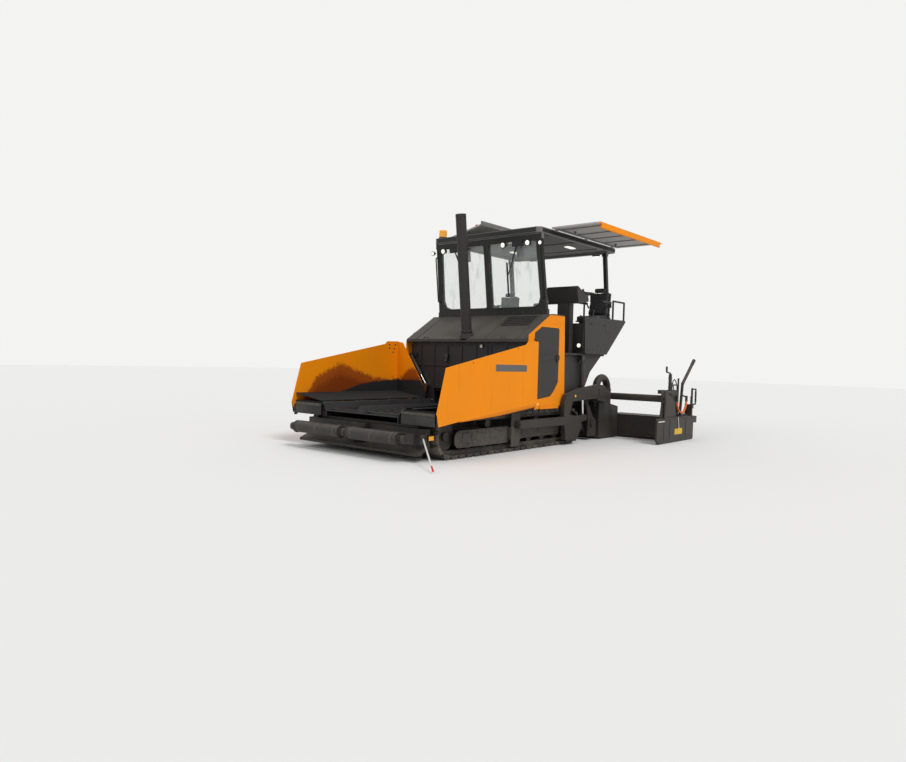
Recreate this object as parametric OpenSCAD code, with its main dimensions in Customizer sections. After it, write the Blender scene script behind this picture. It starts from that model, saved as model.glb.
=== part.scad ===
// Tracked asphalt paver with an extending screed, working position.
// X runs forward to the hopper, Y to the machine's left, Z up from the ground.
// Stations along X are measured from the sprocket axle and shifted at the end.

/* [Body] */
// Half width over the fixed side panels
body_half_w = 1275; // [1265:5:1290]
// Thickness of the side panels and doors
panel_t = 12; // [8:1:14]
// Station of the hood's front edge
hood_front_x = 1330; // [1310:5:1335]
// Height of the hood's front edge
hood_front_z = 1665; // [1640:5:1690]
// Station of the windscreen's foot
screen_foot_x = 635; // [600:5:680]
// Height of the hood's top and windscreen's foot
hood_top_z = 2090; // [2060:5:2120]
// Height of the platform floor
deck_z = 1490; // [1480:5:1500]
// Station of the platform's rear edge
deck_rear_x = -1100; // [-1120:5:-1090]

/* [Tracks] */
// Distance between sprocket and idler axles
track_base = 3070; // [2900:10:3090]
// Height of the track loop over its pads
track_h = 600; // [590:5:610]
// Width of a track shoe
shoe_w = 305; // [280:5:310]
// Distance that the tracks lie inside the side panels
track_inset = 20; // [15:1:40]
// Height of a rubber pad
pad_h = 35; // [25:1:45]
// Number of shoes in a track
shoe_count = 48; // [40:1:50]

/* [Hopper] */
// Distance that the open wings stand out past the side panels
wing_flare = 185; // [170:5:200]
// Wall thickness of the wings
wing_t = 12; // [8:1:14]
// Distance from the idler axle to the wings' front edge
wing_reach = 490; // [430:10:510]
// Height of the wing hinges
hinge_z = 640; // [635:1:650]
// Distance from the wing hinges to the conveyor floor's edge
floor_inset = 80; // [70:5:95]
// Height of the conveyor floor
floor_z = 552; // [545:1:555]
// Spacing of the conveyor slats
slat_pitch = 160; // [120:10:220]

/* [Front] */
// Diameter of the push rollers
push_d = 160; // [140:5:170]
// Length of one push roller
push_l = 960; // [900:10:980]
// Distance from the idler axle to the push rollers' axis
push_reach = 730; // [720:5:760]

/* [Canopy] */
// Forward lean of windscreen, posts and exhaust in degrees
lean = 8; // [5:0.5:9]
// Distance from the side panels to the windscreen's edge
screen_inset = 145; // [135:5:175]
// Height of the windscreen along its lean
screen_h = 1265; // [1240:5:1280]
// Station of the roof's rear edge
roof_rear_x = -1700; // [-1750:10:-1660]
// Thickness of the roof's rim
roof_t = 85; // [70:1:95]
// Width of an awning
awning_w = 850; // [800:10:880]
// Angle of the stowed right awning past level in degrees
awning_stow = 166; // [160:1:168]
// Outside diameter of the exhaust stack
exhaust_d = 170; // [150:5:190]
// Length of the exhaust stack
exhaust_l = 1945; // [1850:5:2000]

/* [Platform] */
// Distance that the seat consoles stand out past the side panels
console_out = 25; // [15:5:35]
// Height of the consoles' top edge
console_top_z = 2110; // [2080:5:2130]
// Diameter of the steering wheel
steer_d = 440; // [400:10:460]

/* [Auger] */
// Outside diameter of the auger
auger_d = 360; // [320:5:370]
// Pitch of one auger turn
auger_pitch = 300; // [250:10:340]
// Diameter of the auger's shaft
shaft_d = 80; // [60:2:100]
// Height of the auger's axis
auger_z = 300; // [290:5:320]

/* [Screed] */
// Distance that the main screed lies inside the side panels
screed_inset = 25; // [20:5:35]
// Distance that each extension is run out
ext_out = 1008; // [980:1:1030]
// Length of an extension's sole
ext_l = 1210; // [1180:5:1220]
// Outside diameter of the fixed telescopic tube
tube_d = 160; // [140:5:170]
// Diameter of the sliding telescopic tube
ram_d = 120; // [100:5:124]
// Length of an end gate
gate_l = 1580; // [1500:10:1600]
// Height of an end gate
gate_h = 430; // [380:5:440]
// Height of the tow point above the ground
tow_z = 400; // [390:5:410]
// Station of the tow point
tow_x = 1620; // [1600:5:1640]

/* [Hidden] */

// Clearances
run_gap = 0.3;
fit_gap = 0.05;
pin_gap = 0.5;

// Ends of the machine along X, from the guide rod's tip to the screed's grips
push_x = track_base + push_reach;
front_end_x = push_x + 270;
rear_end_x = -2930;
frame_shift = -(front_end_x + rear_end_x) / 2;

// Track
track_half_w = body_half_w - track_inset;
track_zc = track_h / 2;
track_y = track_half_w - shoe_w / 2;
plate_t = 14;
chain_h = 62;
chain_w = 165;
path_r = track_zc - pad_h - plate_t;
track_in_r = path_r - chain_h;
track_len = 2 * track_base + 2 * PI * path_r;
shoe_pitch = track_len / shoe_count;
wheel_r = track_in_r - run_gap;
roller_r = 76;
roller_w = 150;
roller_z = track_zc - track_in_r + roller_r + run_gap;
carrier_r = 60;
carrier_z = track_zc + track_in_r - carrier_r - run_gap;
roller_count = 7;
roller_ends = [380, track_base - 470];
roller_x = [for (k = [0:roller_count - 1])
    roller_ends[0] + k * (roller_ends[1] - roller_ends[0]) / (roller_count - 1)];
carrier_x = [900, track_base - 920];
frame_plate_t = 14;
frame_out_y = track_half_w - 22;
frame_in_y = track_y - chain_w / 2 - 30;

// Front
push_pivot_x = push_x - 280;
push_z = 305;
beam_half_w = track_half_w - 125;
front_half_w = track_half_w - 75;

// Chassis
chassis_half_w = track_half_w - shoe_w - 70;
chassis_x = [-330, push_pivot_x - 130];
chassis_z = [210, 530];
chassis_t = 20;
crossbeam_x = [560, track_base - 690];
crossbeam_w = 220;

// Canopy
screen_half_w = body_half_w - screen_inset;
roof_half_w = screen_half_w - 20;
// The windscreen and the rear posts are equal links, so the roof stays level as it folds back
screen_t = 60;
lamp_y = [-880, -400, 400, 880];
lamp_h = screen_h - 125;
pin_d = 30;
foot_pin = [-screen_t / 2, 50];
link_l = screen_h - 95;
link = [link_l * sin(lean), 0, link_l * cos(lean)];
screen_foot = [screen_foot_x + foot_pin.x * cos(lean) + foot_pin.y * sin(lean), 0,
    hood_top_z - foot_pin.x * sin(lean) + foot_pin.y * cos(lean)];
screen_top = screen_foot + link;
post_y = screen_half_w - 90;
post_w = 60;
post_foot = [-1559, post_y, screen_foot.z];
post_top = post_foot + link;
roof_z = screen_top.z + 62;
roof_front_x = screen_top.x + 90;
awning_t = 26;
awning_lift = 15;
awning_hinge_z = roof_z + roof_t + awning_lift;
awning_hinge_y = roof_half_w + 25;
awning_x = [-1660, 560];
awning_knuckle_x = [-1500, -550, 400];

// Hood
hood_half_w = body_half_w - panel_t - run_gap;
hood_slope = (hood_top_z - hood_front_z) / (hood_front_x - screen_foot_x);
exhaust_foot = [1240, 0, hood_front_z + (hood_front_x - 1240) * hood_slope - 2];

// Platform
deck_t = 30;
deck_half_w = body_half_w - 35;
rear_half_w = body_half_w - 75;
console_half_w = body_half_w + console_out;
console_x = [-1320, -300];
rear_beam_x = post_foot.x + 9;
console_in_y = body_half_w - 615;
seat_y = body_half_w - 275;
seat_x = -1080;
seat_z = 2190;
steer_at = [-700, body_half_w - 290, 2540];
rail_d = 34;

// Wing
wing_half_w = body_half_w + wing_flare;
wing_front_x = track_base + wing_reach;
wing_rear_x = hood_front_x + 15;
hinge_y = chassis_half_w - 80;
floor_half_w = hinge_y - floor_inset;
wing_rise = 90;
barrel_pin = [1270, body_half_w - 60, 1400];
rod_eye = [1270, hinge_y + 30, 885];
wall_half_w = barrel_pin.y - 67;
wing_rod_d = 26;

// Screed
screed_half_w = body_half_w - screed_inset;
auger_half_l = screed_half_w - 60;
auger_x = -770;
arm_y = [body_half_w + 25, body_half_w + 97];
screed_x = [-1680, -985];
beam_x = [-955, -745];
beam_z = [665, 775];
tube_at = [-1310, 0, 760];
tube_half_l = screed_half_w + 12;
ext_x = [-2230, -1720];
ext_plate_t = 24;
ext_plate_y = tube_half_l + 6 + ext_out;
gate_x0 = -965 - gate_l;
gate_t = 30;
gate_y = ext_plate_y + ext_plate_t + run_gap;
gate_post_d = 40;
// Columns: station of a gate post, height of its guide
gate_post = [[gate_x0 + 105, 565], [-1270, 680]];
lift_top = [-300, body_half_w - 20, 1415];
lift_eye = [-380, body_half_w - 20, 420];
lift_eye_w = 50;
lift_rod_d = 46;

// Lashing eyes for transport
eye_d = 40;
eye_t = 25;

// Small geometry helpers
function unit(v) = v / norm(v);
function turn2(v, a) = [v.x * cos(a) - v.y * sin(a), v.x * sin(a) + v.y * cos(a)];
function round_corner(a, p, b, r, n) =
    let (u = unit(a - p), v = unit(b - p), half = acos(u * v) / 2, reach = r / tan(half),
        c = p + unit(u + v) * (r / sin(half)), s = p + u * reach - c, e = p + v * reach - c,
        sweep = sign(cross(s, e)) * (180 - 2 * half))
    r == 0 ? [p] : [for (k = [0:n]) c + turn2(s, sweep * k / n)];
function rounded(pts, r, n = 4) =
    let (m = len(pts))
    [for (i = [0:m - 1]) each
        round_corner(pts[(i + m - 1) % m], pts[i], pts[(i + 1) % m], is_list(r) ? r[i] : r, n)];

module xz(y0, y1) { translate([0, y1, 0]) rotate([90, 0, 0]) linear_extrude(y1 - y0) children(); }
module yz(x0, x1) { translate([x0, 0, 0]) rotate([90, 0, 90]) linear_extrude(x1 - x0) children(); }
module xy(z0, z1) { translate([0, 0, z0]) linear_extrude(z1 - z0) children(); }
module box(x, y, z) { translate([x[0], y[0], z[0]]) cube([x[1] - x[0], y[1] - y[0], z[1] - z[0]]); }
module bar(a, b, d, fn = 24) {
    v = b - a;
    translate(a) rotate([0, acos(v.z / norm(v)), atan2(v.y, v.x)]) cylinder(h = norm(v), d = d, $fn = fn);
}
module across(at, y0, y1, d, fn = 32) {
    translate([at.x, y1, at.z]) rotate([90, 0, 0]) cylinder(h = y1 - y0, d = d, $fn = fn);
}
module side(s) { if (s > 0) children(); else mirror([0, 1, 0]) children(); }
module both() { for (s = [1, -1]) side(s) children(); }
module place() { translate([frame_shift, 0, 0]) children(); }
// A flat plate on four corners, thickened by the vector t
module plate(a, b, c, d, t) {
    polyhedron([a, b, c, d, a + t, b + t, c + t, d + t], [[0, 1, 2, 3], [7, 6, 5, 4], [0, 4, 5, 1],
        [1, 5, 6, 2], [2, 6, 7, 3], [3, 7, 4, 0]]);
}
// A round bar that runs through a list of points
module rail(pts, d, fn = 16) {
    for (k = [0:len(pts) - 2]) bar(pts[k], pts[k + 1], d, fn);
    for (k = [1:1:len(pts) - 2]) translate(pts[k]) sphere(d / 2, $fn = fn);
}

// Track loop
// The chain pin at distance s along the loop, as [x, z]
function chain_pin(s) =
    let (b = track_base, half = PI * path_r)
    s < b ? [s, track_zc - path_r]
    : s < b + half ? let (a = -90 + (s - b) / path_r * 180 / PI)
        [b + path_r * cos(a), track_zc + path_r * sin(a)]
    : s < 2 * b + half ? [2 * b + half - s, track_zc + path_r]
    : let (a = 90 + (s - 2 * b - half) / path_r * 180 / PI)
        [path_r * cos(a), track_zc + path_r * sin(a)];

module loop_2d(r) {
    for (x = [0, track_base]) translate([x, track_zc]) circle(r, $fn = 48);
    translate([0, track_zc - r]) square([track_base, 2 * r]);
}

module shoe_2d() {
    w = shoe_pitch - 14;
    seat = 3;
    polygon([[-seat, -w / 2], [plate_t, -w / 2], [plate_t, -w / 2 + 10],
        [plate_t + pad_h, -w / 2 + 18], [plate_t + pad_h, w / 2 - 18], [plate_t, w / 2 - 10],
        [plate_t, w / 2], [-seat, w / 2]]);
}

module track() {
    color("#2b2926") {
        xz(track_y - chain_w / 2, track_y + chain_w / 2) difference() {
            loop_2d(path_r);
            loop_2d(track_in_r);
        }
        xz(track_y - shoe_w / 2, track_y + shoe_w / 2) for (k = [0:shoe_count - 1]) {
            a = chain_pin(k * shoe_pitch);
            b = chain_pin((k + 1) * shoe_pitch - 0.001);
            translate((a + b) / 2) rotate(atan2(b.y - a.y, b.x - a.x) - 90) shoe_2d();
        }
    }
}
module track_left() { place() track(); }
module track_right() { place() side(-1) track(); }

module track_frame() {
    front_x = track_base - 110;
    plate = rounded([[330, 262], [330, 376], [front_x, 376], [front_x, 140], [1500, 140], [1380, 180],
        [360, 180]], [0, 20, 110, 90, 30, 30, 30], 5);
    for (y = [frame_in_y - frame_plate_t, frame_out_y - frame_plate_t])
        xz(y, y + frame_plate_t) polygon(plate);
    box([400, front_x - 200], [frame_in_y, frame_out_y - frame_plate_t], [275, 365]);
    // Idler yoke
    box([front_x - 60, track_base + 60], [frame_in_y - frame_plate_t, frame_in_y], [track_zc - 60, track_zc + 60]);
    across([track_base, 0, track_zc], frame_in_y - 1, track_y - 70 - run_gap, 90);
    // Brackets of the upper rollers and tow point guide
    for (x = carrier_x)
        box([x - 30, x + 30], [frame_in_y - frame_plate_t, frame_in_y - 2], [376, carrier_z + 20]);
    box([1560, 1760], [frame_out_y - 1, arm_y[0] - 18], [190, 360]);
    box([1525, 1745], [arm_y[0] - 19, arm_y[0] - 8], [75, 690]);
    // Tow point's pin with its cap
    across([tow_x, 0, tow_z], arm_y[0] - 9, arm_y[1] + 10, 60 - 2 * fit_gap);
    across([tow_x, 0, tow_z], arm_y[1] + 5, arm_y[1] + 16, 90);
}
module track_frames() { color("#3f3a34") place() both() track_frame(); }

module toothed_2d(n, r0, r1) {
    polygon([for (k = [0:n - 1]) each [for (q = [[0.05, r0], [0.3, r1], [0.6, r1], [0.85, r0]])
        let (a = 360 * (k + q[0]) / n) [q[1] * cos(a), q[1] * sin(a)]]]);
}

module wheel_set() {
    axle_y = [frame_in_y, frame_out_y - frame_plate_t];
    // Sprocket with its drive hub
    translate([0, track_y + 30, track_zc]) rotate([90, 0, 0])
        linear_extrude(60) toothed_2d(17, wheel_r - 24, wheel_r);
    across([0, 0, track_zc], chassis_half_w + chassis_t, track_y + 110, 250);
    // Idler
    across([track_base, 0, track_zc], track_y - 40, track_y + 40, 2 * wheel_r, 48);
    across([track_base, 0, track_zc], track_y - 70, track_y + 70, 120);
    // Rollers that carry the machine on the lower run
    for (x = roller_x) {
        across([x, 0, roller_z], track_y - roller_w / 2, track_y + roller_w / 2, 2 * roller_r);
        across([x, 0, roller_z], axle_y[0], axle_y[1], 44);
    }
    // Rollers under the upper run
    for (x = carrier_x) {
        across([x, 0, carrier_z], track_y - 60, track_y + 60, 2 * carrier_r);
        across([x, 0, carrier_z], frame_in_y - 2, track_y, 34);
    }
}
module running_wheels() { color("#35312c") place() both() wheel_set(); }

module chassis_frame() {
    fx = chassis_x[1] + 80;
    color("#37332e") place() {
        both() {
            box(chassis_x, [chassis_half_w, chassis_half_w + chassis_t], chassis_z);
            for (x = crossbeam_x)
                box([x, x + crossbeam_w], [chassis_half_w + chassis_t, frame_in_y - frame_plate_t],
                    [230, 370]);
        }
        box([chassis_x[0], chassis_x[1]], [-chassis_half_w, chassis_half_w], [chassis_z[0], chassis_z[0] + 15]);
        for (x = [chassis_x[0], 500, 1700, track_base - 470, chassis_x[1] - 20])
            box([x, x + 20], [-chassis_half_w, chassis_half_w], [chassis_z[0] + 15, chassis_z[1] - 75]);
        // Front crossmember and bumper plate
        box([chassis_x[1], fx], [-front_half_w, front_half_w], [150, 420]);
        xz(-front_half_w, front_half_w) polygon([[fx, 150], [fx, 190], [fx + 170, 120], [fx + 170, 85], [fx + 90, 85]]);
        for (z = [[190, 235], [375, 420]]) box([fx, fx + 100], [-130, 130], z);
        translate([push_pivot_x, 0, 200]) cylinder(h = 210, d = 50 - 2 * fit_gap, $fn = 32);
        both() {
            lashing_eye([fx - 40, 1000, 465], 420);
            lashing_eye([-375, 650, 320], 0);
        }
    }
}

// An eye plate whose root is on top of a member at a height, or else on a face ahead of it
module lashing_eye(at, root_z) {
    difference() {
        union() {
            across(at, at.y - eye_t / 2, at.y + eye_t / 2, 2 * eye_d);
            if (root_z > 0) box([at.x - eye_d, at.x + eye_d], [at.y - eye_t / 2, at.y + eye_t / 2], [root_z, at.z]);
            if (root_z == 0) box([at.x, chassis_x[0]], [at.y - eye_t / 2, at.y + eye_t / 2], [at.z - eye_d, at.z + eye_d]);
        }
        across(at, at.y - eye_t, at.y + eye_t, eye_d);
    }
}

// Hopper
module hopper_floor() {
    rear_x = -450;
    color("#2c2a28") place() {
        // Deck that the slats run on, with the chain guard between them
        box([rear_x, wing_front_x - 30], [-floor_half_w, floor_half_w], [floor_z - 12, floor_z]);
        yz(1220, wing_front_x - 30) polygon([[-60, floor_z], [-14, floor_z + 95], [14, floor_z + 95], [60, floor_z]]);
        both() {
            yz(1190, wing_front_x - 30) polygon([[floor_half_w, floor_z - 12], [floor_half_w, floor_z],
                [hinge_y - 24, hinge_z + 12], [hinge_y - 12, hinge_z], [floor_half_w + 10, floor_z - 12]]);
            bar([1222, hinge_y, hinge_z], [wing_front_x - 30, hinge_y, hinge_z], 44);
            // Side walls that hold the floor on the chassis
            box([rear_x, wing_front_x - 30], [floor_half_w, floor_half_w + 12], [chassis_z[1] - 70, floor_z - 12]);
            box([rear_x, 1190], [floor_half_w, floor_half_w + 12], [floor_z - 12, 800]);
            for (x = [100, 1740, wing_front_x - 260])
                box([x, x + 40], [floor_half_w + 12, chassis_half_w], [470, 520]);
            // Guide that the auger frame slides on
            box([-470, rear_x + 20], [floor_half_w + 12, 840], [480, 860]);
        }
        box([rear_x, 1190], [-floor_half_w - 12, floor_half_w + 12], [800, 812]);
    }
}

// Rear wall of the hopper with the two conveyor openings below it
module hopper_wall() {
    x = [1190, 1220];
    color("#252320") place() {
        yz(x[0], x[1]) difference() {
            polygon([[-floor_half_w, floor_z], [floor_half_w, floor_z], [floor_half_w, track_h + 60], [wall_half_w, track_h + 60],
                [wall_half_w, hood_front_z - 40], [-wall_half_w, hood_front_z - 40], [-wall_half_w, track_h + 60],
                [-floor_half_w, track_h + 60]]);
            for (s = [-1, 1]) translate([s * (floor_half_w + 40) / 2, (floor_z + 850) / 2])
                square([floor_half_w - 80, 852 - floor_z], center = true);
        }
        // Lamp over the openings
        translate([x[1] - 1, 300, hood_front_z - 110]) rotate([0, 90, 0]) cylinder(h = 16, d = 70, $fn = 24);
    }
}

// Brackets and pins that hold the upper ends of the wing and lift cylinders
module cylinder_mounts() {
    wall_x = 1220;
    color("#3f3b36") place() both() {
        box([wall_x, barrel_pin.x - 33], [wall_half_w - 50, barrel_pin.y + 35], [barrel_pin.z - 35, barrel_pin.z + 35]);
        translate([barrel_pin.x - 34, barrel_pin.y, barrel_pin.z]) rotate([0, 90, 0])
            cylinder(h = 54, d = 26 - 2 * fit_gap, $fn = 24);
        difference() {
            box([lift_top.x - 60, lift_top.x + 60], [rear_half_w, lift_top.y + 35], [1340, deck_z - deck_t]);
            box([lift_top.x - 70, lift_top.x + 70], [lift_top.y - 29, lift_top.y + 29], [1330, deck_z - deck_t - 6]);
        }
        across(lift_top, lift_top.y - 30, lift_top.y + 30, 40 - 2 * fit_gap);
    }
}

module conveyor_slats() {
    slat_h = 28;
    slat_w = 34;
    chain_y = [100, floor_half_w - 60];
    color("#1f1e1d") place() for (s = [1, -1]) side(s) {
        for (y = chain_y) box([-430, wing_front_x - 50], [y - 12, y + 12], [floor_z, floor_z + 16]);
        for (x = [-400:slat_pitch:wing_front_x - 90])
            box([x, x + slat_w], [chain_y[0] - 30, chain_y[1] + 30], [floor_z, floor_z + slat_h]);
    }
}

// Height of a wing's floor plate above the hinge at a distance from it
function wing_floor_z(y) = hinge_z + 26 + (y - hinge_y) / (wing_half_w - hinge_y) * wing_rise;

module wing() {
    // The lower edge is folded in along a lip that widens to the rear
    fold = 0.55;
    lip_x = [wing_front_x - 460, wing_rear_x];
    lip_z = [532, 710];
    lip_h = [14, 105];
    outline = [[lip_x[1], lip_z[1]], [wing_rear_x, 1622], [1610, 1612], [1660, 1565], [wing_front_x - 130, 1212],
        [wing_front_x + 30, 625], [wing_front_x, 475], [lip_x[0], lip_z[0]]];
    color("#f08a10") {
        // Outer wall
        xz(wing_half_w - wing_t, wing_half_w) polygon(outline);
        plate([lip_x[0], wing_half_w, lip_z[0]], [lip_x[1], wing_half_w, lip_z[1]],
            [lip_x[1], wing_half_w - fold * lip_h[1], lip_z[1] - lip_h[1]],
            [lip_x[0], wing_half_w - fold * lip_h[0], lip_z[0] - lip_h[0]], [0, -wing_t, 0]);
        // Floor plate
        yz(wing_rear_x, wing_front_x - 40) polygon([[hinge_y + 34, wing_floor_z(hinge_y + 34)],
            [wing_half_w - wing_t, wing_floor_z(wing_half_w)],
            [wing_half_w - wing_t, wing_floor_z(wing_half_w) + wing_t],
            [hinge_y + 34, wing_floor_z(hinge_y + 34) + wing_t]]);
        // Rear wall that closes the wing towards the hood
        yz(wing_rear_x, wing_rear_x + wing_t) polygon([[hinge_y + 34, wing_floor_z(hinge_y + 34)],
            [wing_half_w - wing_t, wing_floor_z(wing_half_w)], [wing_half_w - wing_t, 1620],
            [1330, 1600], [hinge_y + 34, 890]]);
        // Hinge leaves
        for (x = [1400, 2100, 2800, wing_front_x - 160])
            yz(x, x + 90) polygon([[hinge_y + 22 + run_gap, hinge_z - 8], [hinge_y + 40, hinge_z - 8],
                [hinge_y + 60, wing_floor_z(hinge_y + 60) + 1], [hinge_y + 34, wing_floor_z(hinge_y + 34) + 1],
                [hinge_y + 22 + run_gap, hinge_z + 12]]);
        // Lug beside the lift cylinder's eye
        yz(rod_eye.x + 14 + run_gap, wing_rear_x + 1) polygon([[hinge_y + 34, wing_floor_z(hinge_y)],
            [hinge_y + 120, wing_floor_z(hinge_y) + 20], [rod_eye.y + 32, rod_eye.z + 34], [rod_eye.y - 28, rod_eye.z + 34]]);
    }
    // Front apron
    color("#1d1c1b") box([wing_front_x - 62, wing_front_x - 40], [hinge_y + 34, wing_half_w - wing_t], [500, 660]);
}
module wing_left() { place() wing(); }
module wing_right() { place() side(-1) wing(); }

module wing_barrel() {
    d = unit(rod_eye - barrel_pin);
    color("#4a4742") difference() {
        union() {
            translate(barrel_pin - [16, 0, 0]) rotate([0, 90, 0]) cylinder(h = 32, d = 58, $fn = 24);
            bar(barrel_pin + d * 20, barrel_pin + d * 420, 56);
        }
        bar(barrel_pin + d * 60, barrel_pin + d * 430, wing_rod_d + 2 * fit_gap);
        translate(barrel_pin - [20, 0, 0]) rotate([0, 90, 0]) cylinder(h = 40, d = 26, $fn = 24);
    }
}
module wing_rod() {
    d = unit(rod_eye - barrel_pin);
    color("#c9c9c6") difference() {
        union() {
            translate(rod_eye - [14, 0, 0]) rotate([0, 90, 0]) cylinder(h = 28, d = 52, $fn = 24);
            bar(rod_eye - d * 15, barrel_pin + d * 165, wing_rod_d);
        }
        translate(rod_eye - [20, 0, 0]) rotate([0, 90, 0]) cylinder(h = 40, d = 26, $fn = 24);
    }
}
module wing_barrel_left() { place() wing_barrel(); }
module wing_barrel_right() { place() side(-1) wing_barrel(); }
module wing_rod_left() { place() wing_rod(); }
module wing_rod_right() { place() side(-1) wing_rod(); }

// Push rollers that meet the lorry's tyres
module push_beam() {
    z = push_z;
    color("#3a352c") place() {
        box([push_x - 150, push_x - 100], [-beam_half_w, beam_half_w], [z - 70, z + 70]);
        difference() {
            box([push_pivot_x - 30, push_x - 150], [-60, 60], [z - 70 + run_gap, z + 70 - run_gap]);
            translate([push_pivot_x, 0, z - 80]) cylinder(h = 160, d = 50, $fn = 32);
        }
        for (y = [-beam_half_w, -25, beam_half_w - 50]) difference() {
            xz(y, y + 50) polygon(rounded([[push_x - 110, z - 60], [push_x - 110, z + 60], [push_x + 55, z + 50],
                [push_x + 55, z - 50]], [0, 0, 40, 40]));
            across([push_x, 0, z], y - 1, y + 51, 50);
        }
    }
}
module push_roller() {
    z = push_z;
    mid = (beam_half_w - 25) / 2;
    color("#4b4437") {
        across([push_x, 0, z], mid - push_l / 2, mid + push_l / 2, push_d, 40);
        across([push_x, 0, z], 30, beam_half_w - 5, 50 - 2 * fit_gap);
        for (y = [mid - push_l / 2, mid + push_l / 2 - 14]) across([push_x, 0, z], y, y + 14, push_d + 16, 40);
    }
}
module push_roller_left() { place() push_roller(); }
module push_roller_right() { place() side(-1) push_roller(); }

// Direction pole that the driver steers by
module guide_rod() {
    foot = [push_pivot_x + 20, front_half_w + 15, 300];
    tip_r = 14;
    tip = [front_end_x - tip_r, front_half_w + 650, 30];
    color("#e6e2da") place() {
        bar(foot, tip, 22, 12);
        box([push_pivot_x - 50, push_pivot_x + 50], [front_half_w - 30, front_half_w + 10], [240, 360]);
    }
    color("#b3261e") place() translate(tip) sphere(tip_r, $fn = 24);
}

// Hood and exhaust
module hood() {
    t = 8;
    color("#55524c") place() {
        difference() {
            xz(-hood_half_w, hood_half_w) polygon([[304, 830], [304, hood_top_z], [screen_foot_x, hood_top_z],
                [hood_front_x, hood_front_z], [hood_front_x, hood_front_z - 40], [1190, hood_front_z - 40],
                [1190, 830]]);
            xz(-hood_half_w + t, hood_half_w - t) polygon([[304 + t, 820], [304 + t, hood_top_z - t],
                [screen_foot_x - 4, hood_top_z - t], [hood_front_x - t, hood_front_z - t - 3],
                [hood_front_x - t, hood_front_z - 40 + t], [1190 - t, hood_front_z - 40 + t], [1190 - t, 820]]);
            // Louvres in the near side of the top
            for (k = [0:5]) translate([700 + k * 48, 450, 1800]) box([0, 22], [0, 560], [0, 300]);
            translate(exhaust_foot - [0, 0, 60]) rotate([0, lean - 1, 0]) cylinder(h = 200, d = exhaust_d + 40, $fn = 48);
        }
        // Brackets and pins of the windscreen's foot
        both() {
            box([screen_foot.x - 30, screen_foot.x + 30], [screen_half_w + 2, screen_half_w + 16],
                [hood_top_z - 30, screen_foot.z + 30]);
            across(screen_foot, screen_half_w - 40, screen_half_w + 4, pin_d - 2 * fit_gap);
        }
        // Collar at the exhaust's foot
        translate(exhaust_foot) rotate([0, lean - 1, 0]) difference() {
            translate([0, 0, -30]) cylinder(h = 70, d = exhaust_d + 60, $fn = 48);
            translate([0, 0, -31]) cylinder(h = 80, d = exhaust_d + 2 * run_gap, $fn = 48);
        }
    }
}

module engine_block() {
    color("#4d4a45") place() box([330, 1080], [-380, 380], [812, 1520]);
}

module exhaust_stack() {
    color("#2b2927") place() translate(exhaust_foot) rotate([0, lean - 1, 0]) difference() {
        cylinder(h = exhaust_l, d = exhaust_d, $fn = 48);
        translate([0, 0, 120]) cylinder(h = exhaust_l, d = exhaust_d - 10, $fn = 48);
    }
}

// Fixed side panels with the doors in them
door = rounded([[475, 1020], [475, 1865], [975, 1865], [1170, 1765], [1170, 745], [690, 800], [590, 880]],
    [20, 30, 30, 20, 20, 30, 20]);
door_gap = 7;
door_hinge = [1175, body_half_w + 9];
door_hinge_z = [880, 1640];
// Pins of the door hinges, and the door's knuckles on them
module door_pins() {
    for (z = door_hinge_z) translate([door_hinge.x, door_hinge.y, z]) {
        cylinder(h = 60, d = 12 - 2 * fit_gap, $fn = 24);
        translate([0, 0, -24]) cylinder(h = 25, d = 18, $fn = 24);
        box([0, 45], [-10, -4], [-24, -1]);
    }
}
module door_knuckles() {
    for (z = door_hinge_z) translate([door_hinge.x, door_hinge.y, z + 1 + run_gap]) difference() {
        union() {
            cylinder(h = 52, d = 18, $fn = 24);
            box([-45, -4], [-10, -4], [0, 52]);
        }
        translate([0, 0, -1]) cylinder(h = 54, d = 12, $fn = 24);
    }
}
module side_panel(top) {
    color("#f08a10") xz(body_half_w - panel_t, body_half_w) difference() {
        polygon(concat([[262, 650]], top, [[hood_front_x, 700], [track_base - 150, 690], [track_base - 150, 490]]));
        polygon([for (p = door) p + door_gap * unit(p - [820, 1300])]);
    }
    color("#3f3b36") door_pins();
}
// The left panel stands up past the hood and the right one ends below its edge
module side_panels() {
    place() {
        side_panel([[320, hood_top_z - 20], [730, hood_top_z - 20], [hood_front_x, hood_front_z + 65]]);
        side(-1) side_panel([[320, hood_top_z - 25], [screen_foot_x, hood_top_z - 25], [hood_front_x, hood_front_z - 25]]);
    }
}

module side_door() {
    color("#3a3733") {
        xz(body_half_w - panel_t, body_half_w) polygon(door);
        door_knuckles();
        // Latch
        box([488, 545], [body_half_w, body_half_w + 14], [1350, 1450]);
        // Stiffener across the door
        xz(body_half_w, body_half_w + 4) polygon([[500, 1490], [500, 1512], [1150, 1400], [1150, 1378]]);
    }
}
module side_door_left() { place() side_door(); }
module side_door_right() { place() side(-1) side_door(); }

// Lower body behind the engine, with tanks and the conveyor tunnel below
module rear_body() {
    profile = [[304, deck_z - deck_t], [-1060, deck_z - deck_t], [-690, 1180], [-500, 900], [80, 815], [304, 815]];
    color("#3f3b36") place() {
        xz(-rear_half_w, rear_half_w) polygon(profile);
        both() {
            box([-300, 290], [chassis_half_w, chassis_half_w + chassis_t], [chassis_z[1], 880]);
        }
    }
}

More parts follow.
